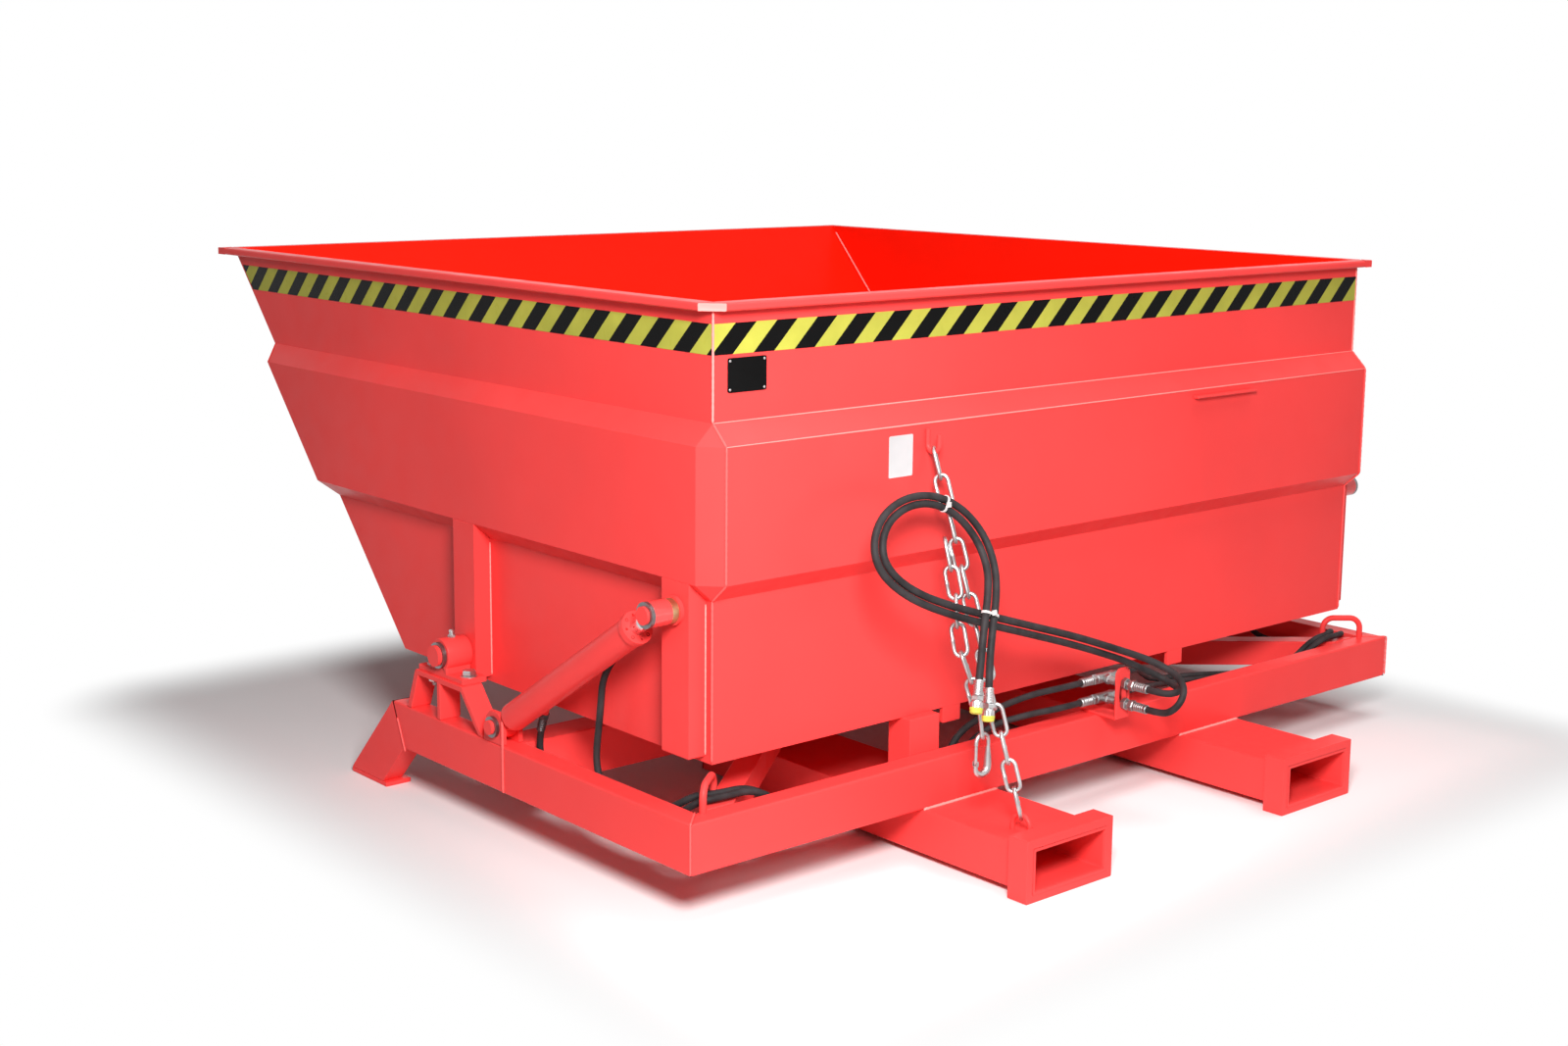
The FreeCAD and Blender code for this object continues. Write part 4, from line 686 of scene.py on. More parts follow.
class SKIP_OT_hoses(bpy.types.Operator):
    """Lays the two free hoses with their couplings, dust caps and ties"""

    bl_idname = "skip.hoses"
    bl_label = "Free hoses"

    def execute(self, context):
        looks = finishes()
        radius = context.scene.skip_sizes.hose / 2
        couplings = bmesh.new()
        caps = bmesh.new()
        hoses = []
        for name, route in (("free_hose_outer", HOSE_OUTER), ("free_hose_inner", HOSE_INNER)):
            hose = spline(name, route, radius)
            hoses.append((hose, line_points(hose)[1], route))
            tip = at(*route[-1])
            way = (tip - at(*route[-2])).normalized()
            crimped(couplings, tip + way * FERRULE_SEAT, way, FERRULE_RADIUS, FERRULE_REACH)
            hexagon(couplings, tip + way * NUT_SEAT, way, NUT_RADIUS, NUT_HEIGHT)
            turned(couplings, tip + way * NECK_SEAT, way, NECK, 20)
            turned(couplings, tip + way * SLEEVE_SEAT, way, SLEEVE, 36, knurl=0.05)
            turned(caps, tip + way * CAP_SEAT, way, CAP, 28, knurl=0.02)
        couplers = piece("quick_couplers", couplings, [looks["zinc_plate"]], "frame")
        covers = piece("coupling_caps", caps, [looks["yellow_plastic"]], "frame")
        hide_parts("quick_couplings")
        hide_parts("dust_caps")
        heads = bmesh.new()
        for run in TIED_RUNS:
            outer, inner = ((at(*route[run]) + at(*route[run + 1])) / 2 for _, _, route in hoses)
            along = at(*HOSE_OUTER[run + 1]) - at(*HOSE_OUTER[run])
            out = along.cross(inner - outer).normalized()
            if out.y > 0.0:
                out.negate()
            seat = (outer + inner) / 2 + out * (radius + TIE_BAND)
            turned(heads, seat, out, TIE_HEAD, 4)
        heads = piece("tie_heads", heads, [looks["black_nylon"]], "frame")
        for (hose, reach, route), node in zip(hoses, ("hose_outer", "hose_inner")):
            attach(hose, "frame")
            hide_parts(node)
        return {"FINISHED"}


class SKIP_OT_lines(bpy.types.Operator):
    """Lays the four lines from the unions to the cylinders, with their end fittings riding on the barrels"""

    bl_idname = "skip.lines"
    bl_label = "Cylinder lines"

    def execute(self, context):
        radius = context.scene.skip_sizes.line / 2
        runs = (
            ("line_high_left", HIGH_LINE + HIGH_LEFT, "barrel_left", HIGH_BEND, "lines_left"),
            ("line_low_left", LOW_LINE + LOW_LEFT, "barrel_left", LOW_BEND, "lines_left"),
            ("line_high_right", flipped(HIGH_LINE + HIGH_RIGHT), "barrel_right", HIGH_BEND, "lines_right"),
            ("line_low_right", flipped(LOW_LINE + LOW_RIGHT), "barrel_right", LOW_BEND, "lines_right"),
        )
        for name, route, barrel, (low, high), node in runs:
            cord = spline(name, route, radius)
            path, reach = line_points(cord)
            line = tube_of(cord)
            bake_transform(line)
            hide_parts(node)
            ends = bmesh.new()
            start = at(*route[0])
            way = (at(*route[1]) - start).normalized()
            hexagon(ends, start + way * LINE_NUT_SEAT, way, LINE_NUT_RADIUS, LINE_NUT_HEIGHT)
            crimped(ends, start + way * LINE_FERRULE_SEAT, way, LINE_FERRULE_RADIUS, LINE_FERRULE_REACH)
            piece(name + "_end", ends, [finishes()["dark_steel"]], barrel)
        return {"FINISHED"}


# Bulkhead unions: places in millimetres, radius and height or reach in metres
UNION_X = 35
UNION_LEVELS = (4, -40)
TEE_Y = -65
TEE_LEFT = 11
TEE_RIGHT = 59
UNION_THREAD = [(0.0, 0.0082)] + thread(0.0, 0.002, 38, 0.0083, 0.0090)[1:]
TEE = ((0.0, 0.0096), (0.002, 0.011), (0.046, 0.011), (0.048, 0.0096))
UNION_START = -149
# Each nut's x, y, way, radius, height and turn
UNION_NUTS = (
    (UNION_X, -136, FORWARD, 0.0135, 0.0119, 0.3), (UNION_X, -117.9, FORWARD, 0.0135, 0.0119, 0.1),
    (UNION_X, -86, FORWARD, 0.0112, 0.012, 0.5), (UNION_X, -142, -FORWARD, 0.0125, 0.013, 0.25),
    (TEE_LEFT, TEE_Y, -RIGHT, 0.0122, 0.013, 0.2), (TEE_RIGHT, TEE_Y, RIGHT, 0.0122, 0.012, 0.4),
)
# Each ferrule's x, y, way, radius and reach
UNION_FERRULES = (
    (UNION_X, -155, -FORWARD, 0.0100, 0.035), (TEE_LEFT - 13, TEE_Y, -RIGHT, 0.0100, 0.035),
    (TEE_RIGHT + 12, TEE_Y, RIGHT, 0.0100, 0.020),
)


class SKIP_OT_unions(bpy.types.Operator):
    """Builds the bulkhead unions with their nuts, tees and ferrules"""

    bl_idname = "skip.unions"
    bl_label = "Bulkhead unions"

    def execute(self, context):
        bm = bmesh.new()
        for level in UNION_LEVELS:
            turned(bm, at(UNION_X, UNION_START, level), FORWARD, UNION_THREAD, 20)
            turned(bm, at(TEE_LEFT, TEE_Y, level), RIGHT, TEE, 24)
            for x, y, way, radius, height, phase in UNION_NUTS:
                hexagon(bm, at(x, y, level), way, radius, height, phase)
            for x, y, way, radius, reach in UNION_FERRULES:
                crimped(bm, at(x, y, level), way, radius, reach)
        unions = piece("bulkhead_unions", bm, [finishes()["dull_zinc"]], "frame", angle=30.0)
        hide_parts("unions")
        return {"FINISHED"}


# Chain

CHAINS = (("chain_top", "hopper"), ("chain_main", "frame"), ("chain_tail", "frame"))
FACING = Vector((-0.716, -0.698, 0.0))
SAME_POINT = 0.00002
BEND_STEPS = 8
# Search for a link's long axis: the first guess and the number of rounds
AXIS_GUESS = Vector((0.1, 0.2, 1.0))
AXIS_ROUNDS = 40
# The weld on one side of a link: shares of half the link's length, and the bar's swelling there
LINK_WELD = ((0.10, 1.0), (0.06, 1.16), (-0.06, 1.16), (-0.10, 1.0))
# The thick back of the snap hook, in millimetres
HOOK_HALF_WIDTH = 17.0
HOOK_DROP = 24.0
HOOK_SHANK = ((14.0, 4.2), (4.0, 5.8), (-10.0, 7.2))
HOOK_BEND = (7.8, 8.2, 8.2, 8.0, 7.4, 6.6, 5.6, 4.8, 4.2)


def shells(node):
    """The places of each separate body in a part, from the top down."""
    bm = bmesh.new()
    bm.from_mesh(node.data)
    bmesh.ops.remove_doubles(bm, verts=bm.verts, dist=SAME_POINT)
    left = set(bm.verts)
    found = []
    while left:
        wave = [left.pop()]
        shell = []
        while wave:
            vert = wave.pop()
            shell.append(node.matrix_world @ vert.co)
            for edge in vert.link_edges:
                other = edge.other_vert(vert)
                if other in left:
                    left.remove(other)
                    wave.append(other)
        found.append(shell)
    bm.free()
    found.sort(key=lambda shell: -max(place.z for place in shell))
    return found


def long_axis(places):
    """The middle of a body, the way that it is longest and half its length."""
    centre = Vector([sum(place[axis] for place in places) / len(places) for axis in range(3)])
    way = AXIS_GUESS
    for _ in range(AXIS_ROUNDS):
        pull = Vector((0.0, 0.0, 0.0))
        for place in places:
            arm = place - centre
            pull += arm * arm.dot(way)
        way = pull.normalized()
    spans = [(place - centre).dot(way) for place in places]
    centre += way * (max(spans) + min(spans)) / 2
    return centre, way, (max(spans) - min(spans)) / 2


def chain_link(bm, centre, along, across, reach, wide, bar):
    """A welded link: reach and wide are half its outside length and width, with the weld on one side."""
    bend = wide - bar
    rise = reach - wide
    ends = []
    for end in (1.0, -1.0):
        bow = []
        for step in range(BEND_STEPS + 1):
            angle = math.pi * step / BEND_STEPS
            out = (across * math.cos(angle) + along * math.sin(angle)) * end
            bow.append((centre + along * rise * end + out * bend, out, bar))
        ends.append(bow)
    seam = centre - across * bend
    weld = [(seam + along * reach * shift, -across, bar * swell) for shift, swell in LINK_WELD]
    rings = swept(bm, ends[0] + weld + ends[1], along.cross(across))
    join_rings(bm, rings[-1], rings[0])


class SKIP_OT_chain(bpy.types.Operator):
    """Forges the chain's links in the places of the frame's links, turned as the chain hangs"""

    bl_idname = "skip.chain"
    bl_label = "Chain"

    def execute(self, context):
        looks = finishes()
        sizes = context.scene.skip_sizes
        for node, body in CHAINS:
            bm = bmesh.new()
            for index, places in enumerate(shells(frame["nodes"][node])):
                centre, along, reach = long_axis(places)
                facing = (FACING - along * FACING.dot(along)).normalized()
                across = along.cross(facing) if index % 2 else facing
                chain_link(bm, centre, along, across, reach, sizes.link / 2, sizes.link_bar / 2)
            links = piece(node + "_links", bm, [looks["zinc_plate"]], body, angle=60.0)
            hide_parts(node)
        low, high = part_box("snap_hook")
        middle = (low + high) / 2
        across = RIGHT if high.x - low.x > high.y - low.y else FORWARD
        stations = []
        for height, thick in HOOK_SHANK:
            stations.append((middle + (across * HOOK_HALF_WIDTH + UP * height) * MM, across, thick * MM))
        for step, thick in enumerate(HOOK_BEND):
            angle = -math.pi * step / BEND_STEPS
            out = across * math.cos(angle) + UP * math.sin(angle)
            stations.append((middle + (out * HOOK_HALF_WIDTH - UP * HOOK_DROP) * MM, out, thick * MM))
        bm = bmesh.new()
        rings = swept(bm, stations, UP.cross(across))
        bm.faces.new(rings[0])
        bm.faces.new(rings[-1])
        piece("snap_hook_back", bm, [looks["zinc_plate"]], "frame", angle=60.0)
        return {"FINISHED"}


# Finish of the frame

INWARD = {
    "hopper_floor": UP, "hopper_wall_front": (UP - FORWARD) * 0.7, "hopper_wall_rear": FORWARD,
    "hopper_wall_left": RIGHT, "hopper_wall_right": -RIGHT,
}
INWARD_LEAST = 0.2
TUBES = ("rear_rail", "side_rail_left", "side_rail_right", "fork_pocket_left", "fork_pocket_right")
PRESSED = TUBES + (
    "feet", "foot_plates", "cross_member", "braces", "pocket_collars", "ribs_front", "ribs_rear", "trestles",
    "bearing_left", "bearing_right", "cylinder_lugs", "rest_post", "rest_tabs", "bulkhead", "lug_strip",
)
TUBE_ROUNDING = 2.4
SHARP_EDGE = math.radians(40.0)


def look_of(name, slot):
    """The finish of a CAD part: its slot's, unless the part has one of its own."""
    if name.startswith("hopper_"):
        slot = "sheet_paint"
    if name.startswith("rod_"):
        slot = "rod"
    return finishes()[slot]


class SKIP_OT_paint(bpy.types.Operator):
    """Gives every part of the frame its finish, and eases the edges of tubes and plates"""

    bl_idname = "skip.paint"
    bl_label = "Paint and metal"

    def execute(self, context):
        edge = context.scene.skip_sizes.edge
        for entry in frame["record"]["subparts"]:
            name = entry["node"]
            node = frame["nodes"][name]
            slots = node.data.materials
            slots.clear()
            slots.append(look_of(name, entry["material_slot"]))
            # Faces that look into the hopper get the deeper red copy of the enamel: painted bounce light
            inward = INWARD.get(name)
            if inward is not None:
                slots.append(finishes()["inside_paint_painted_bounce"])
            for face in node.data.polygons:
                inside = inward is not None and face.normal.dot(inward) > INWARD_LEAST
                face.material_index = 1 if inside else 0
            if name in PRESSED:
                join = node.modifiers.new("join", "WELD")
                join.merge_threshold = SAME_POINT
                ease = node.modifiers.new("ease", "BEVEL")
                ease.width = edge * TUBE_ROUNDING if name in TUBES else edge
                ease.segments = 2
                ease.limit_method = "ANGLE"
                ease.angle_limit = SHARP_EDGE
                ease.harden_normals = True
        return {"FINISHED"}


# Tape, plate and sticker: places in millimetres, sizes of the plates in metres

STRIPES = 44
TAPE_FILM = 0.0007
TAPE_GAP = 0.3
TAPE_END = 0.5
TAPE_FRONT_INSET = 8.0
REAR_FIRST_STRIPE = -954.9
FLANK_FIRST_STRIPE = 1766.9
PLATE_X, PLATE_Z = -919.5, 729.0
PLATE_SIZE = (0.093, 0.064)
PLATE_SHAPE = {"corner": 0.004, "thickness": 0.0012, "border": 0.0022, "sink": 0.0003}
RIVET_X, RIVET_Z = 41.0, 26.5
RIVET_SEAT = -1.0
RIVET = ((0.0, 0.0026), (0.0006, 0.0025), (0.0012, 0.0016), (0.0014, 0.0005))
STICKER_X, STICKER_Z = -562.0, 546.0
STICKER_SIZE = (0.064, 0.082)
STICKER_SHAPE = {"corner": 0.003, "thickness": 0.0004, "border": 0.0015, "sink": 0.0001}


def striped(bm, corners, out, start, step, lean):
    """A flat strip cut into leaning stripes; corners run round its outline and out points off the wall."""
    bm.faces.new([bm.verts.new(corner) for corner in corners])
    across = lean.cross(out).normalized()
    for stripe in range(STRIPES + 1):
        everything = list(bm.verts) + list(bm.edges) + list(bm.faces)
        bmesh.ops.bisect_plane(bm, geom=everything, plane_co=start + step * stripe, plane_no=across)
    for face in bm.faces:
        stripe = (face.calc_center_median() - start).dot(across) / step.dot(across)
        face.material_index = int(math.floor(stripe)) % 2
    grown = bmesh.ops.extrude_face_region(bm, geom=list(bm.faces))["geom"]
    fronts = [item for item in grown if isinstance(item, bmesh.types.BMVert)]
    bmesh.ops.translate(bm, vec=out * TAPE_FILM, verts=fronts)


class SKIP_OT_tape(bpy.types.Operator):
    """Sticks the striped tape round the top of the hopper"""

    bl_idname = "skip.tape"
    bl_label = "Hazard tape"

    def execute(self, context):
        looks = finishes()
        sizes = context.scene.skip_sizes
        low = sizes.tape_low / MM
        high = low + sizes.tape_width / MM
        stripe = sizes.stripe / MM / 2
        pair = [looks["tape_yellow"], looks["tape_black"]]
        bm = bmesh.new()
        end = SIDE - TAPE_END
        ring = ((-end, low), (end, low), (end, high), (-end, high))
        striped(bm, [at(x, -TAPE_GAP, z) for x, z in ring], -FORWARD,
                at(REAR_FIRST_STRIPE - 2 * stripe, -TAPE_GAP, low), RIGHT * stripe * MM,
                (RIGHT + UP).normalized())
        piece("tape_rear", bm, pair, "hopper")
        front_low = front_at(low, TAPE_FRONT_INSET)
        front_high = front_at(high, TAPE_FRONT_INSET)
        ring = ((TAPE_END, low), (front_low, low), (front_high, high), (TAPE_END, high))
        for name, side in (("tape_left", -1.0), ("tape_right", 1.0)):
            wall = side * (SIDE + TAPE_GAP)
            bm = bmesh.new()
            striped(bm, [at(wall, y, z) for y, z in ring], RIGHT * side,
                    at(wall, FLANK_FIRST_STRIPE + 4 * stripe, low), -FORWARD * stripe * MM,
                    (UP - FORWARD).normalized())
            piece(name, bm, pair, "hopper")
        return {"FINISHED"}


class SKIP_OT_plates(bpy.types.Operator):
    """Fixes the bare data plate and the bare sticker to the rear wall"""

    bl_idname = "skip.plates"
    bl_label = "Plate and sticker"

    def execute(self, context):
        looks = finishes()
        bm = bmesh.new()
        plaque(bm, at(PLATE_X, 0.0, PLATE_Z), RIGHT, PLATE_SIZE, **PLATE_SHAPE)
        for x in (PLATE_X - RIVET_X, PLATE_X + RIVET_X):
            for z in (PLATE_Z - RIVET_Z, PLATE_Z + RIVET_Z):
                turned(bm, at(x, RIVET_SEAT, z), -FORWARD, RIVET, 12, index=1)
        piece("data_plate", bm, [looks["plate_black"], looks["zinc_plate"]], "hopper")
        bm = bmesh.new()
        plaque(bm, at(STICKER_X, SWAGE_OUT, STICKER_Z), RIGHT, STICKER_SIZE, **STICKER_SHAPE)
        piece("bare_sticker", bm, [looks["sticker"]], "hopper")
        return {"FINISHED"}


# Welds and rim: places in millimetres

WELD_ANGLE = 80.0
# Shares of the weld's radius
BEND_SHARE, RIB_SHARE, LUG_SHARE = 0.6, 0.9, 1.3
RAIL_SHARE, POCKET_SHARE = 0.8, 1.6
BEND_PITCH = 0.5
SEAM_X = 990.5
SEAM_INSET = 13.0
SEAM_HIGH, SEAM_LOW = 846.0, 300.0
WALL_LOW, WALL_HIGH = 4.0, 848.0
RIB_HALF = 41.0
RIB_LOW, RIB_HIGH = 16.0, 304.0
FRAME_SIDE = 1108.5
FOOT_MITRE = ((-FRAME_SIDE, 961.0, -108.2), (-FRAME_SIDE, 930.7, -178.8))
LUG_SEAM = ((-FRAME_SIDE, 543.0, -20.0), (-FRAME_SIDE, 543.0, -172.0))
RAIL_SEAM_LIFT = 0.004
RIM_SIDE = 1030.0
RIM_REAR, RIM_FRONT = -30.0, 1920.0
CORNER_REACH = 38.0
CORNER_CUT, CORNER_CHAMFER = 3.0, 12.0
RIM_CORNERS = (
    (-RIM_SIDE, RIM_FRONT, CORNER_CUT), (RIM_SIDE, RIM_FRONT, CORNER_CUT),
    (RIM_SIDE, RIM_REAR, CORNER_CHAMFER),
)
CORNER_PLATE_X, CORNER_PLATE_Y = -1011.0, -11.0
CORNER_PLATE_SIZE = (0.052, 0.0145)
CORNER_PLATE_SHAPE = {"corner": 0.002, "thickness": 0.0008, "border": 0.003, "sink": 0.0003}


def both_sides(radius, *runs):
    """Runs between two places in millimetres and their mirror images, as weld_piece takes them."""
    pairs = list(runs) + [flipped(run) for run in runs]
    return [(at(*first), at(*last), radius) for first, last in pairs]


def weld_piece(name, runs, body, look, pitch=RIPPLE):
    """The beads of one piece: each run has its two ends and its radius, in metres."""
    bm = bmesh.new()
    for first, last, radius in runs:
        bead(bm, first, last, radius, pitch)
    piece(name, bm, [finishes()[look]], body, WELD_ANGLE)


class SKIP_OT_welds(bpy.types.Operator):
    """Runs the weld beads along the seams of the hopper and the frame"""

    bl_idname = "skip.welds"
    bl_label = "Weld beads"

    def execute(self, context):
        # The beads here are coloured lighter than the walls' enamel as a painted highlight: a little lighter,
        # and pale where they catch the most light
        radius = context.scene.skip_sizes.weld
        low_in, low_out = (-SIDE, 0.0, SWAGE_LOW[0]), (-SIDE, SWAGE_OUT, SWAGE_LOW[1])
        high_out, high_in = (-SIDE, SWAGE_OUT, SWAGE_HIGH[0]), (-SIDE, 0.0, SWAGE_HIGH[1])
        foot, top = (-SIDE, 0.0, WALL_LOW), (-SIDE, 0.0, WALL_HIGH)
        runs = both_sides(radius, (foot, low_in), (low_out, high_out), (low_in, low_out), (high_in, high_out))
        weld_piece("welds_corner", runs, "hopper", "weld")
        # Painted highlight: thin pale beads along the bends of the upper swage, for the light lines on the
        # bent edges
        runs = [(at(-SIDE, y, z), at(SIDE, y, z), radius * BEND_SHARE) for _, y, z in (high_in, high_out)]
        weld_piece("bend_lines", runs, "hopper", "weld_painted_highlight", BEND_PITCH)
        # Painted highlight: the top corner seams and the front seams take the pale copy of the enamel
        seam = [(-SEAM_X, front_at(height, SEAM_INSET), height) for height in (SEAM_HIGH, SEAM_LOW)]
        weld_piece("welds_pale", both_sides(radius, (high_in, top), seam), "hopper", "weld_painted_highlight")
        # Painted highlight: the ribs' welds are real beads in the pale copy of the enamel
        edges = [middle + edge for middle in (PIVOT_Y, UPPER_PIN[0]) for edge in (-RIB_HALF, RIB_HALF)]
        ribs = [((-SIDE, y, RIB_LOW), (-SIDE, y, RIB_HIGH)) for y in edges]
        weld_piece("welds_rib", both_sides(radius * RIB_SHARE, *ribs), "hopper", "weld_painted_highlight")
        weld_piece("welds_foot", both_sides(radius, FOOT_MITRE), "frame", "weld")
        weld_piece("welds_lug", both_sides(radius * LUG_SHARE, LUG_SEAM), "frame", "weld")
        rail_low, rail_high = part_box("side_rail_left")
        rear_low, rear_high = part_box("rear_rail")
        runs = []
        for side in (-1.0, 1.0):
            outer = side * -rail_low.x
            corner = Vector((outer, rear_low.y, rear_high.z))
            foot = Vector((outer, rear_low.y, rear_low.z + RAIL_SEAM_LIFT))
            runs.append((corner, Vector((side * -rail_high.x, rear_high.y, rear_high.z)), radius))
            runs.append((foot, corner, radius * RAIL_SHARE))
        weld_piece("welds_frame", runs, "frame", "weld")
        # Painted highlight: the pocket welds are real beads, made thicker and in the pale copy of the enamel
        # for the light along the joint
        runs = []
        for node in ("fork_pocket_left", "fork_pocket_right"):
            low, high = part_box(node)
            for y in (rear_low.y, rear_high.y):
                ends = [Vector((x, y, rear_low.z)) for x in (low.x, high.x)]
                runs.append((*ends, radius * POCKET_SHARE))
        weld_piece("welds_pocket", runs, "frame", "weld_painted_highlight")
        return {"FINISHED"}


class SKIP_OT_rim(bpy.types.Operator):
    """Fills the rim's corners that are square, and closes the chamfered one with a pale plate, a painted
    highlight for the light on that facet
    """

    bl_idname = "skip.rim"
    bl_label = "Rim corners"

    def execute(self, context):
        looks = finishes()
        bm = bmesh.new()
        for x, y, cut in RIM_CORNERS:
            in_x = -math.copysign(1.0, x)
            in_y = -math.copysign(1.0, y)
            outline = [
                (x + in_x * CORNER_REACH, y), (x + in_x * cut, y),
                (x, y + in_y * cut), (x, y + in_y * CORNER_REACH),
            ]
            under = [bm.verts.new(at(*place, RIM_LOW)) for place in outline]
            over = [bm.verts.new(at(*place, RIM_TOP)) for place in outline]
            bm.faces.new(under)
            bm.faces.new(over)
            join_rings(bm, under, over)
        piece("rim_corners", bm, [looks["sheet_paint"]], "hopper")
        # Painted highlight: a plate in the pale copy of the enamel on the chamfered corner, for the light on
        # that facet
        bm = bmesh.new()
        centre = at(CORNER_PLATE_X, CORNER_PLATE_Y, (RIM_LOW + RIM_TOP) / 2)
        plaque(bm, centre, (RIGHT - FORWARD).normalized(), CORNER_PLATE_SIZE, **CORNER_PLATE_SHAPE)
        piece("corner_plate", bm, [looks["weld_painted_highlight"]], "hopper")
        return {"FINISHED"}


# Bolts, grease nipples and the black discs of painted shade in the spanner holes, in metres

BOLT_REACH = 0.066
FLANGE = 0.012
WASHER = ((0.0, 0.0190), (0.002, 0.0190), (0.0025, 0.0180))
WASHER_HEIGHT = 0.0025
BOLT_RADIUS, HEAD_HEIGHT, NUT_DEPTH = 0.0160, 0.011, 0.013
BOLT_THREAD = thread(0.0150, 0.001, 9, 0.0090, 0.0098)
NIPPLE_SINK = 0.001
NIPPLE_RADIUS, NIPPLE_HEIGHT = 0.0090, 0.006
NIPPLE = (
    (0.0, 0.0054), (0.003, 0.0054), (0.0045, 0.0040), (0.0060, 0.0062), (0.0090, 0.0062), (0.0112, 0.0034),
)
GLAND_FACE = 0.543
HOLE_CIRCLE = 0.0248
# Painted shade: a thin black disc with a shallow dip, for the shade inside a spanner hole
HOLE_SHADE_DISC = ((-0.0006, 0.0036), (0.0003, 0.0034), (0.0003, 0.0026), (-0.0004, 0.0024))


class SKIP_OT_fasteners(bpy.types.Operator):
    """Bolts the bearings down, fits their grease nipples and puts black discs of painted shade in the glands'
    spanner holes
    """

    bl_idname = "skip.fasteners"
    bl_label = "Bolts and nipples"

    def execute(self, context):
        looks = finishes()
        bm = bmesh.new()
        for node in ("bearing_left", "bearing_right"):
            low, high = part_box(node)
            middle = (low + high) / 2
            for side in (-BOLT_REACH, BOLT_REACH):
                seat = Vector((middle.x, middle.y + side, low.z + FLANGE))
                turned(bm, seat, UP, WASHER, 24)
                hexagon(bm, seat + UP * WASHER_HEIGHT, UP, BOLT_RADIUS, HEAD_HEIGHT, phase=0.35)
                under = Vector((middle.x, middle.y + side, low.z - FLANGE))
                turned(bm, under, -UP, WASHER, 24)
                hexagon(bm, under - UP * WASHER_HEIGHT, -UP, BOLT_RADIUS, NUT_DEPTH, phase=0.1)
                turned(bm, under, -UP, BOLT_THREAD, 16)
            top = Vector((middle.x, middle.y, high.z - NIPPLE_SINK))
            hexagon(bm, top, UP, NIPPLE_RADIUS, NIPPLE_HEIGHT)
            turned(bm, top + UP * NIPPLE_HEIGHT, UP, NIPPLE, 16)
        piece("bearing_bolts", bm, [looks["zinc_plate"]], "frame", angle=30.0)
        axis = rod_axis()
        square = axis.cross(RIGHT)
        for body, side in (("barrel_left", -CYLINDER_X), ("barrel_right", CYLINDER_X)):
            bm = bmesh.new()
            face = at(side, *LOWER_PIN) + axis * GLAND_FACE
            for hole in range(4):
                angle = math.pi / 4 + math.pi / 2 * hole
                spot = face + (RIGHT * math.cos(angle) + square * math.sin(angle)) * HOLE_CIRCLE
                turned(bm, spot, axis, HOLE_SHADE_DISC, 14)
            # Painted shade: the black discs stand in for the shade in the holes
            piece("spanner_holes_" + body, bm, [looks["plate_black"]], body)
        return {"FINISHED"}


# Stage

FLOOR_CELLS = 12
FLOOR_HALF = 30.0
FLOOR_FADE = 0.4
FAR_DULLING = -0.5
WHITE = (1.0, 1.0, 1.0, 1.0)
SENSOR = 36.0
LENS_SHIFT = (0.0097, -0.03125)
FAR_CLIP = 200.0
# Each lamp's place, target, width and height, and the property that holds its watts
LAMPS = {
    "key_lamp": ((-2.3, -2.8, 2.1), (-0.3, -0.3, 0.5), (0.9, 0.9), "key"),
    "right_lamp": ((1.5, -3.7, 0.45), (-0.8, -0.8, 0.5), (1.8, 0.8), "side"),
    "top_lamp": ((0.7, -1.6, 4.4), (-0.1, -0.1, 0.6), (2.4, 2.4), "top"),
}


def lamp(name, place, target, size, watts):
    """A flat soft box; the size is its width and height."""
    data = bpy.data.lights.new(name, "AREA")
    data.shape = "ELLIPSE"
    data.size, data.size_y = size
    data.energy = watts
    made = placed(name, data)
    made.visible_camera = False
    made.location = place
    made.rotation_euler = (Vector(target) - Vector(place)).to_track_quat("-Z", "Y").to_euler()


def seen_rays(tree):
    """One for rays from the camera and for mirrored rays, and none for the rest."""
    path = add_node(tree, "LightPath")
    seen = fed_node(tree, path.outputs["Is Camera Ray"], "Math", operation="MAXIMUM")
    tree.links.new(path.outputs["Is Glossy Ray"], seen.inputs[1])
    return seen.outputs["Value"]


def mixed(tree, share, first, last, output):
    """Sends the mix of two shaders to the tree's output node."""
    mix = fed_node(tree, share, "MixShader")
    tree.links.new(first, mix.inputs[1])
    tree.links.new(last, mix.inputs[2])
    tree.links.new(mix.outputs["Shader"], tree.nodes[output].inputs["Surface"])


def ground_finish(tint):
    """Pale floor that keeps the shadow near the object and goes over into the white room further out."""
    material = finish("studio_floor", tint, metallic=0.0, gloss=0.9, shine=0.1)
    tree = material.node_tree
    shader = shader_of(material)
    spread = fed_node(tree, own_place(tree), "VectorMath", operation="ABSOLUTE")
    beyond = fed_node(tree, spread.outputs["Vector"], "VectorMath", operation="SUBTRACT")
    beyond.inputs[1].default_value = tuple(CAD_BOX[1])
    outside = fed_node(tree, beyond.outputs["Vector"], "VectorMath", operation="MAXIMUM")
    reach = fed_node(tree, outside.outputs["Vector"], "VectorMath", operation="LENGTH")
    far = fed_node(tree, reach.outputs["Value"], "MapRange", interpolation_type="SMOOTHSTEP")
    far.inputs["From Max"].default_value = FLOOR_FADE
    dull = fed_node(tree, far.outputs["Result"], "VectorMath", operation="MULTIPLY_ADD")
    dull.inputs[1].default_value = (FAR_DULLING, FAR_DULLING, FAR_DULLING)
    dull.inputs[2].default_value = tuple(tint)
    tree.links.new(dull.outputs["Vector"], shader.inputs["Base Color"])
    share = fed_node(tree, far.outputs["Result"], "Math", operation="MULTIPLY")
    tree.links.new(seen_rays(tree), share.inputs[1])
    white = add_node(tree, "Emission")
    mixed(tree, share.outputs["Value"], shader.outputs["BSDF"], white.outputs["Emission"], "Material Output")
    return material


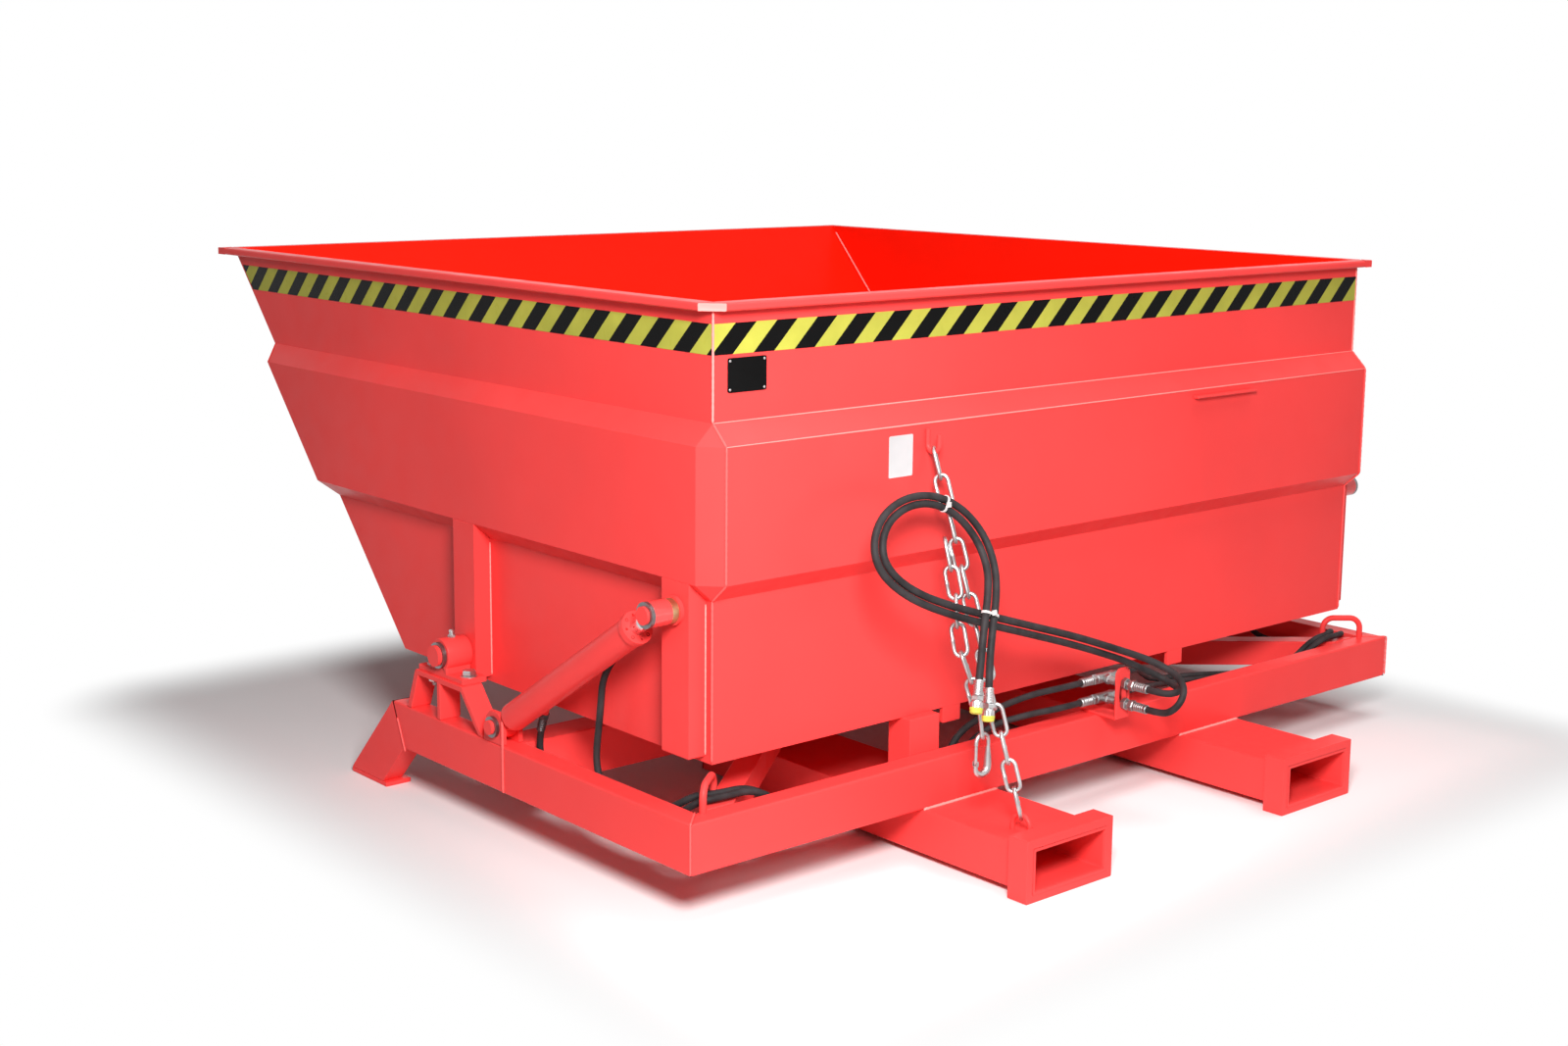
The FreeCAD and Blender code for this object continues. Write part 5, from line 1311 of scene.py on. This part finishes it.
def white_room(strength):
    """Even light from all round, with a white background where the camera sees it."""
    world = bpy.data.worlds.new("studio_air")
    world.use_nodes = True
    tree = world.node_tree
    air = tree.nodes["Background"]
    white = add_node(tree, "Background")
    for node, level in ((air, strength), (white, 1.0)):
        node.inputs["Color"].default_value = WHITE
        node.inputs["Strength"].default_value = level
    mixed(tree, seen_rays(tree), air.outputs["Background"], white.outputs["Background"], "World Output")
    return world


def photo_camera(stage):
    """The camera that is fitted to the photo."""
    level = Vector((math.sin(stage.heading), math.cos(stage.heading), 0.0))
    ahead = level * math.cos(stage.tilt) + UP * math.sin(stage.tilt)
    right = level.cross(UP)
    up = right.cross(ahead)
    rolled_right = right * math.cos(stage.roll) + up * math.sin(stage.roll)
    rolled_up = up * math.cos(stage.roll) - right * math.sin(stage.roll)
    aim = Matrix((rolled_right, rolled_up, -ahead)).transposed().to_4x4()
    data = bpy.data.cameras.new("photo_camera")
    data.sensor_width = SENSOR
    data.lens = stage.lens
    data.shift_x, data.shift_y = LENS_SHIFT
    data.clip_end = FAR_CLIP
    camera = placed("photo_camera", data)
    camera.matrix_world = Matrix.Translation(Vector(stage.spot)) @ aim
    return camera


class SKIP_OT_stage(bpy.types.Operator):
    """Sets up the floor, the white room, the lamps and the camera"""

    bl_idname = "skip.stage"
    bl_label = "Studio"

    def execute(self, context):
        scene = context.scene
        stage = scene.skip_stage
        scene.view_settings.view_transform = "Standard"
        bm = bmesh.new()
        bmesh.ops.create_grid(bm, x_segments=FLOOR_CELLS, y_segments=FLOOR_CELLS, size=FLOOR_HALF)
        mesh = bpy.data.meshes.new("studio_floor")
        bm.to_mesh(mesh)
        bm.free()
        mesh.materials.append(ground_finish(scene.skip_finish.ground))
        floor = placed("studio_floor", mesh)
        scene.world = white_room(stage.air)
        for name, (place, target, size, watts) in LAMPS.items():
            lamp(name, place, target, size, getattr(stage, watts))
        scene.camera = photo_camera(stage)
        return {"FINISHED"}


class SKIP_PT_panel(bpy.types.Panel):
    """Lists the steps that dress the skip"""

    bl_label = "Tipping skip"
    bl_idname = "SKIP_PT_panel"
    bl_space_type = "VIEW_3D"
    bl_region_type = "UI"
    bl_category = "Skip"

    def draw(self, context):
        layout = self.layout
        for step in STEPS:
            layout.operator(step.bl_idname)
        for group in (context.scene.skip_finish, context.scene.skip_sizes, context.scene.skip_stage):
            column = layout.column()
            for prop in group.bl_rna.properties:
                if prop.identifier not in ("rna_type", "name"):
                    column.prop(group, prop.identifier)


STEPS = (
    SKIP_OT_stage, SKIP_OT_paint, SKIP_OT_hoses, SKIP_OT_lines, SKIP_OT_unions, SKIP_OT_chain, SKIP_OT_tape,
    SKIP_OT_plates, SKIP_OT_welds, SKIP_OT_rim, SKIP_OT_fasteners,
)
CLASSES = (SkipFinish, SkipSizes, SkipStage) + STEPS + (SKIP_PT_panel,)


def register():
    for item in CLASSES:
        bpy.utils.register_class(item)
    bpy.types.Scene.skip_finish = PointerProperty(type=SkipFinish)
    bpy.types.Scene.skip_sizes = PointerProperty(type=SkipSizes)
    bpy.types.Scene.skip_stage = PointerProperty(type=SkipStage)


def unregister():
    del bpy.types.Scene.skip_stage
    del bpy.types.Scene.skip_sizes
    del bpy.types.Scene.skip_finish
    for item in reversed(CLASSES):
        bpy.utils.unregister_class(item)


def main():
    register()
    bpy.ops.skip.stage()
    bpy.ops.skip.paint()
    bpy.ops.skip.hoses()
    bpy.ops.skip.lines()
    bpy.ops.skip.unions()
    bpy.ops.skip.chain()
    bpy.ops.skip.tape()
    bpy.ops.skip.plates()
    bpy.ops.skip.welds()
    bpy.ops.skip.rim()
    bpy.ops.skip.fasteners()


if __name__ == "__main__":
    main()
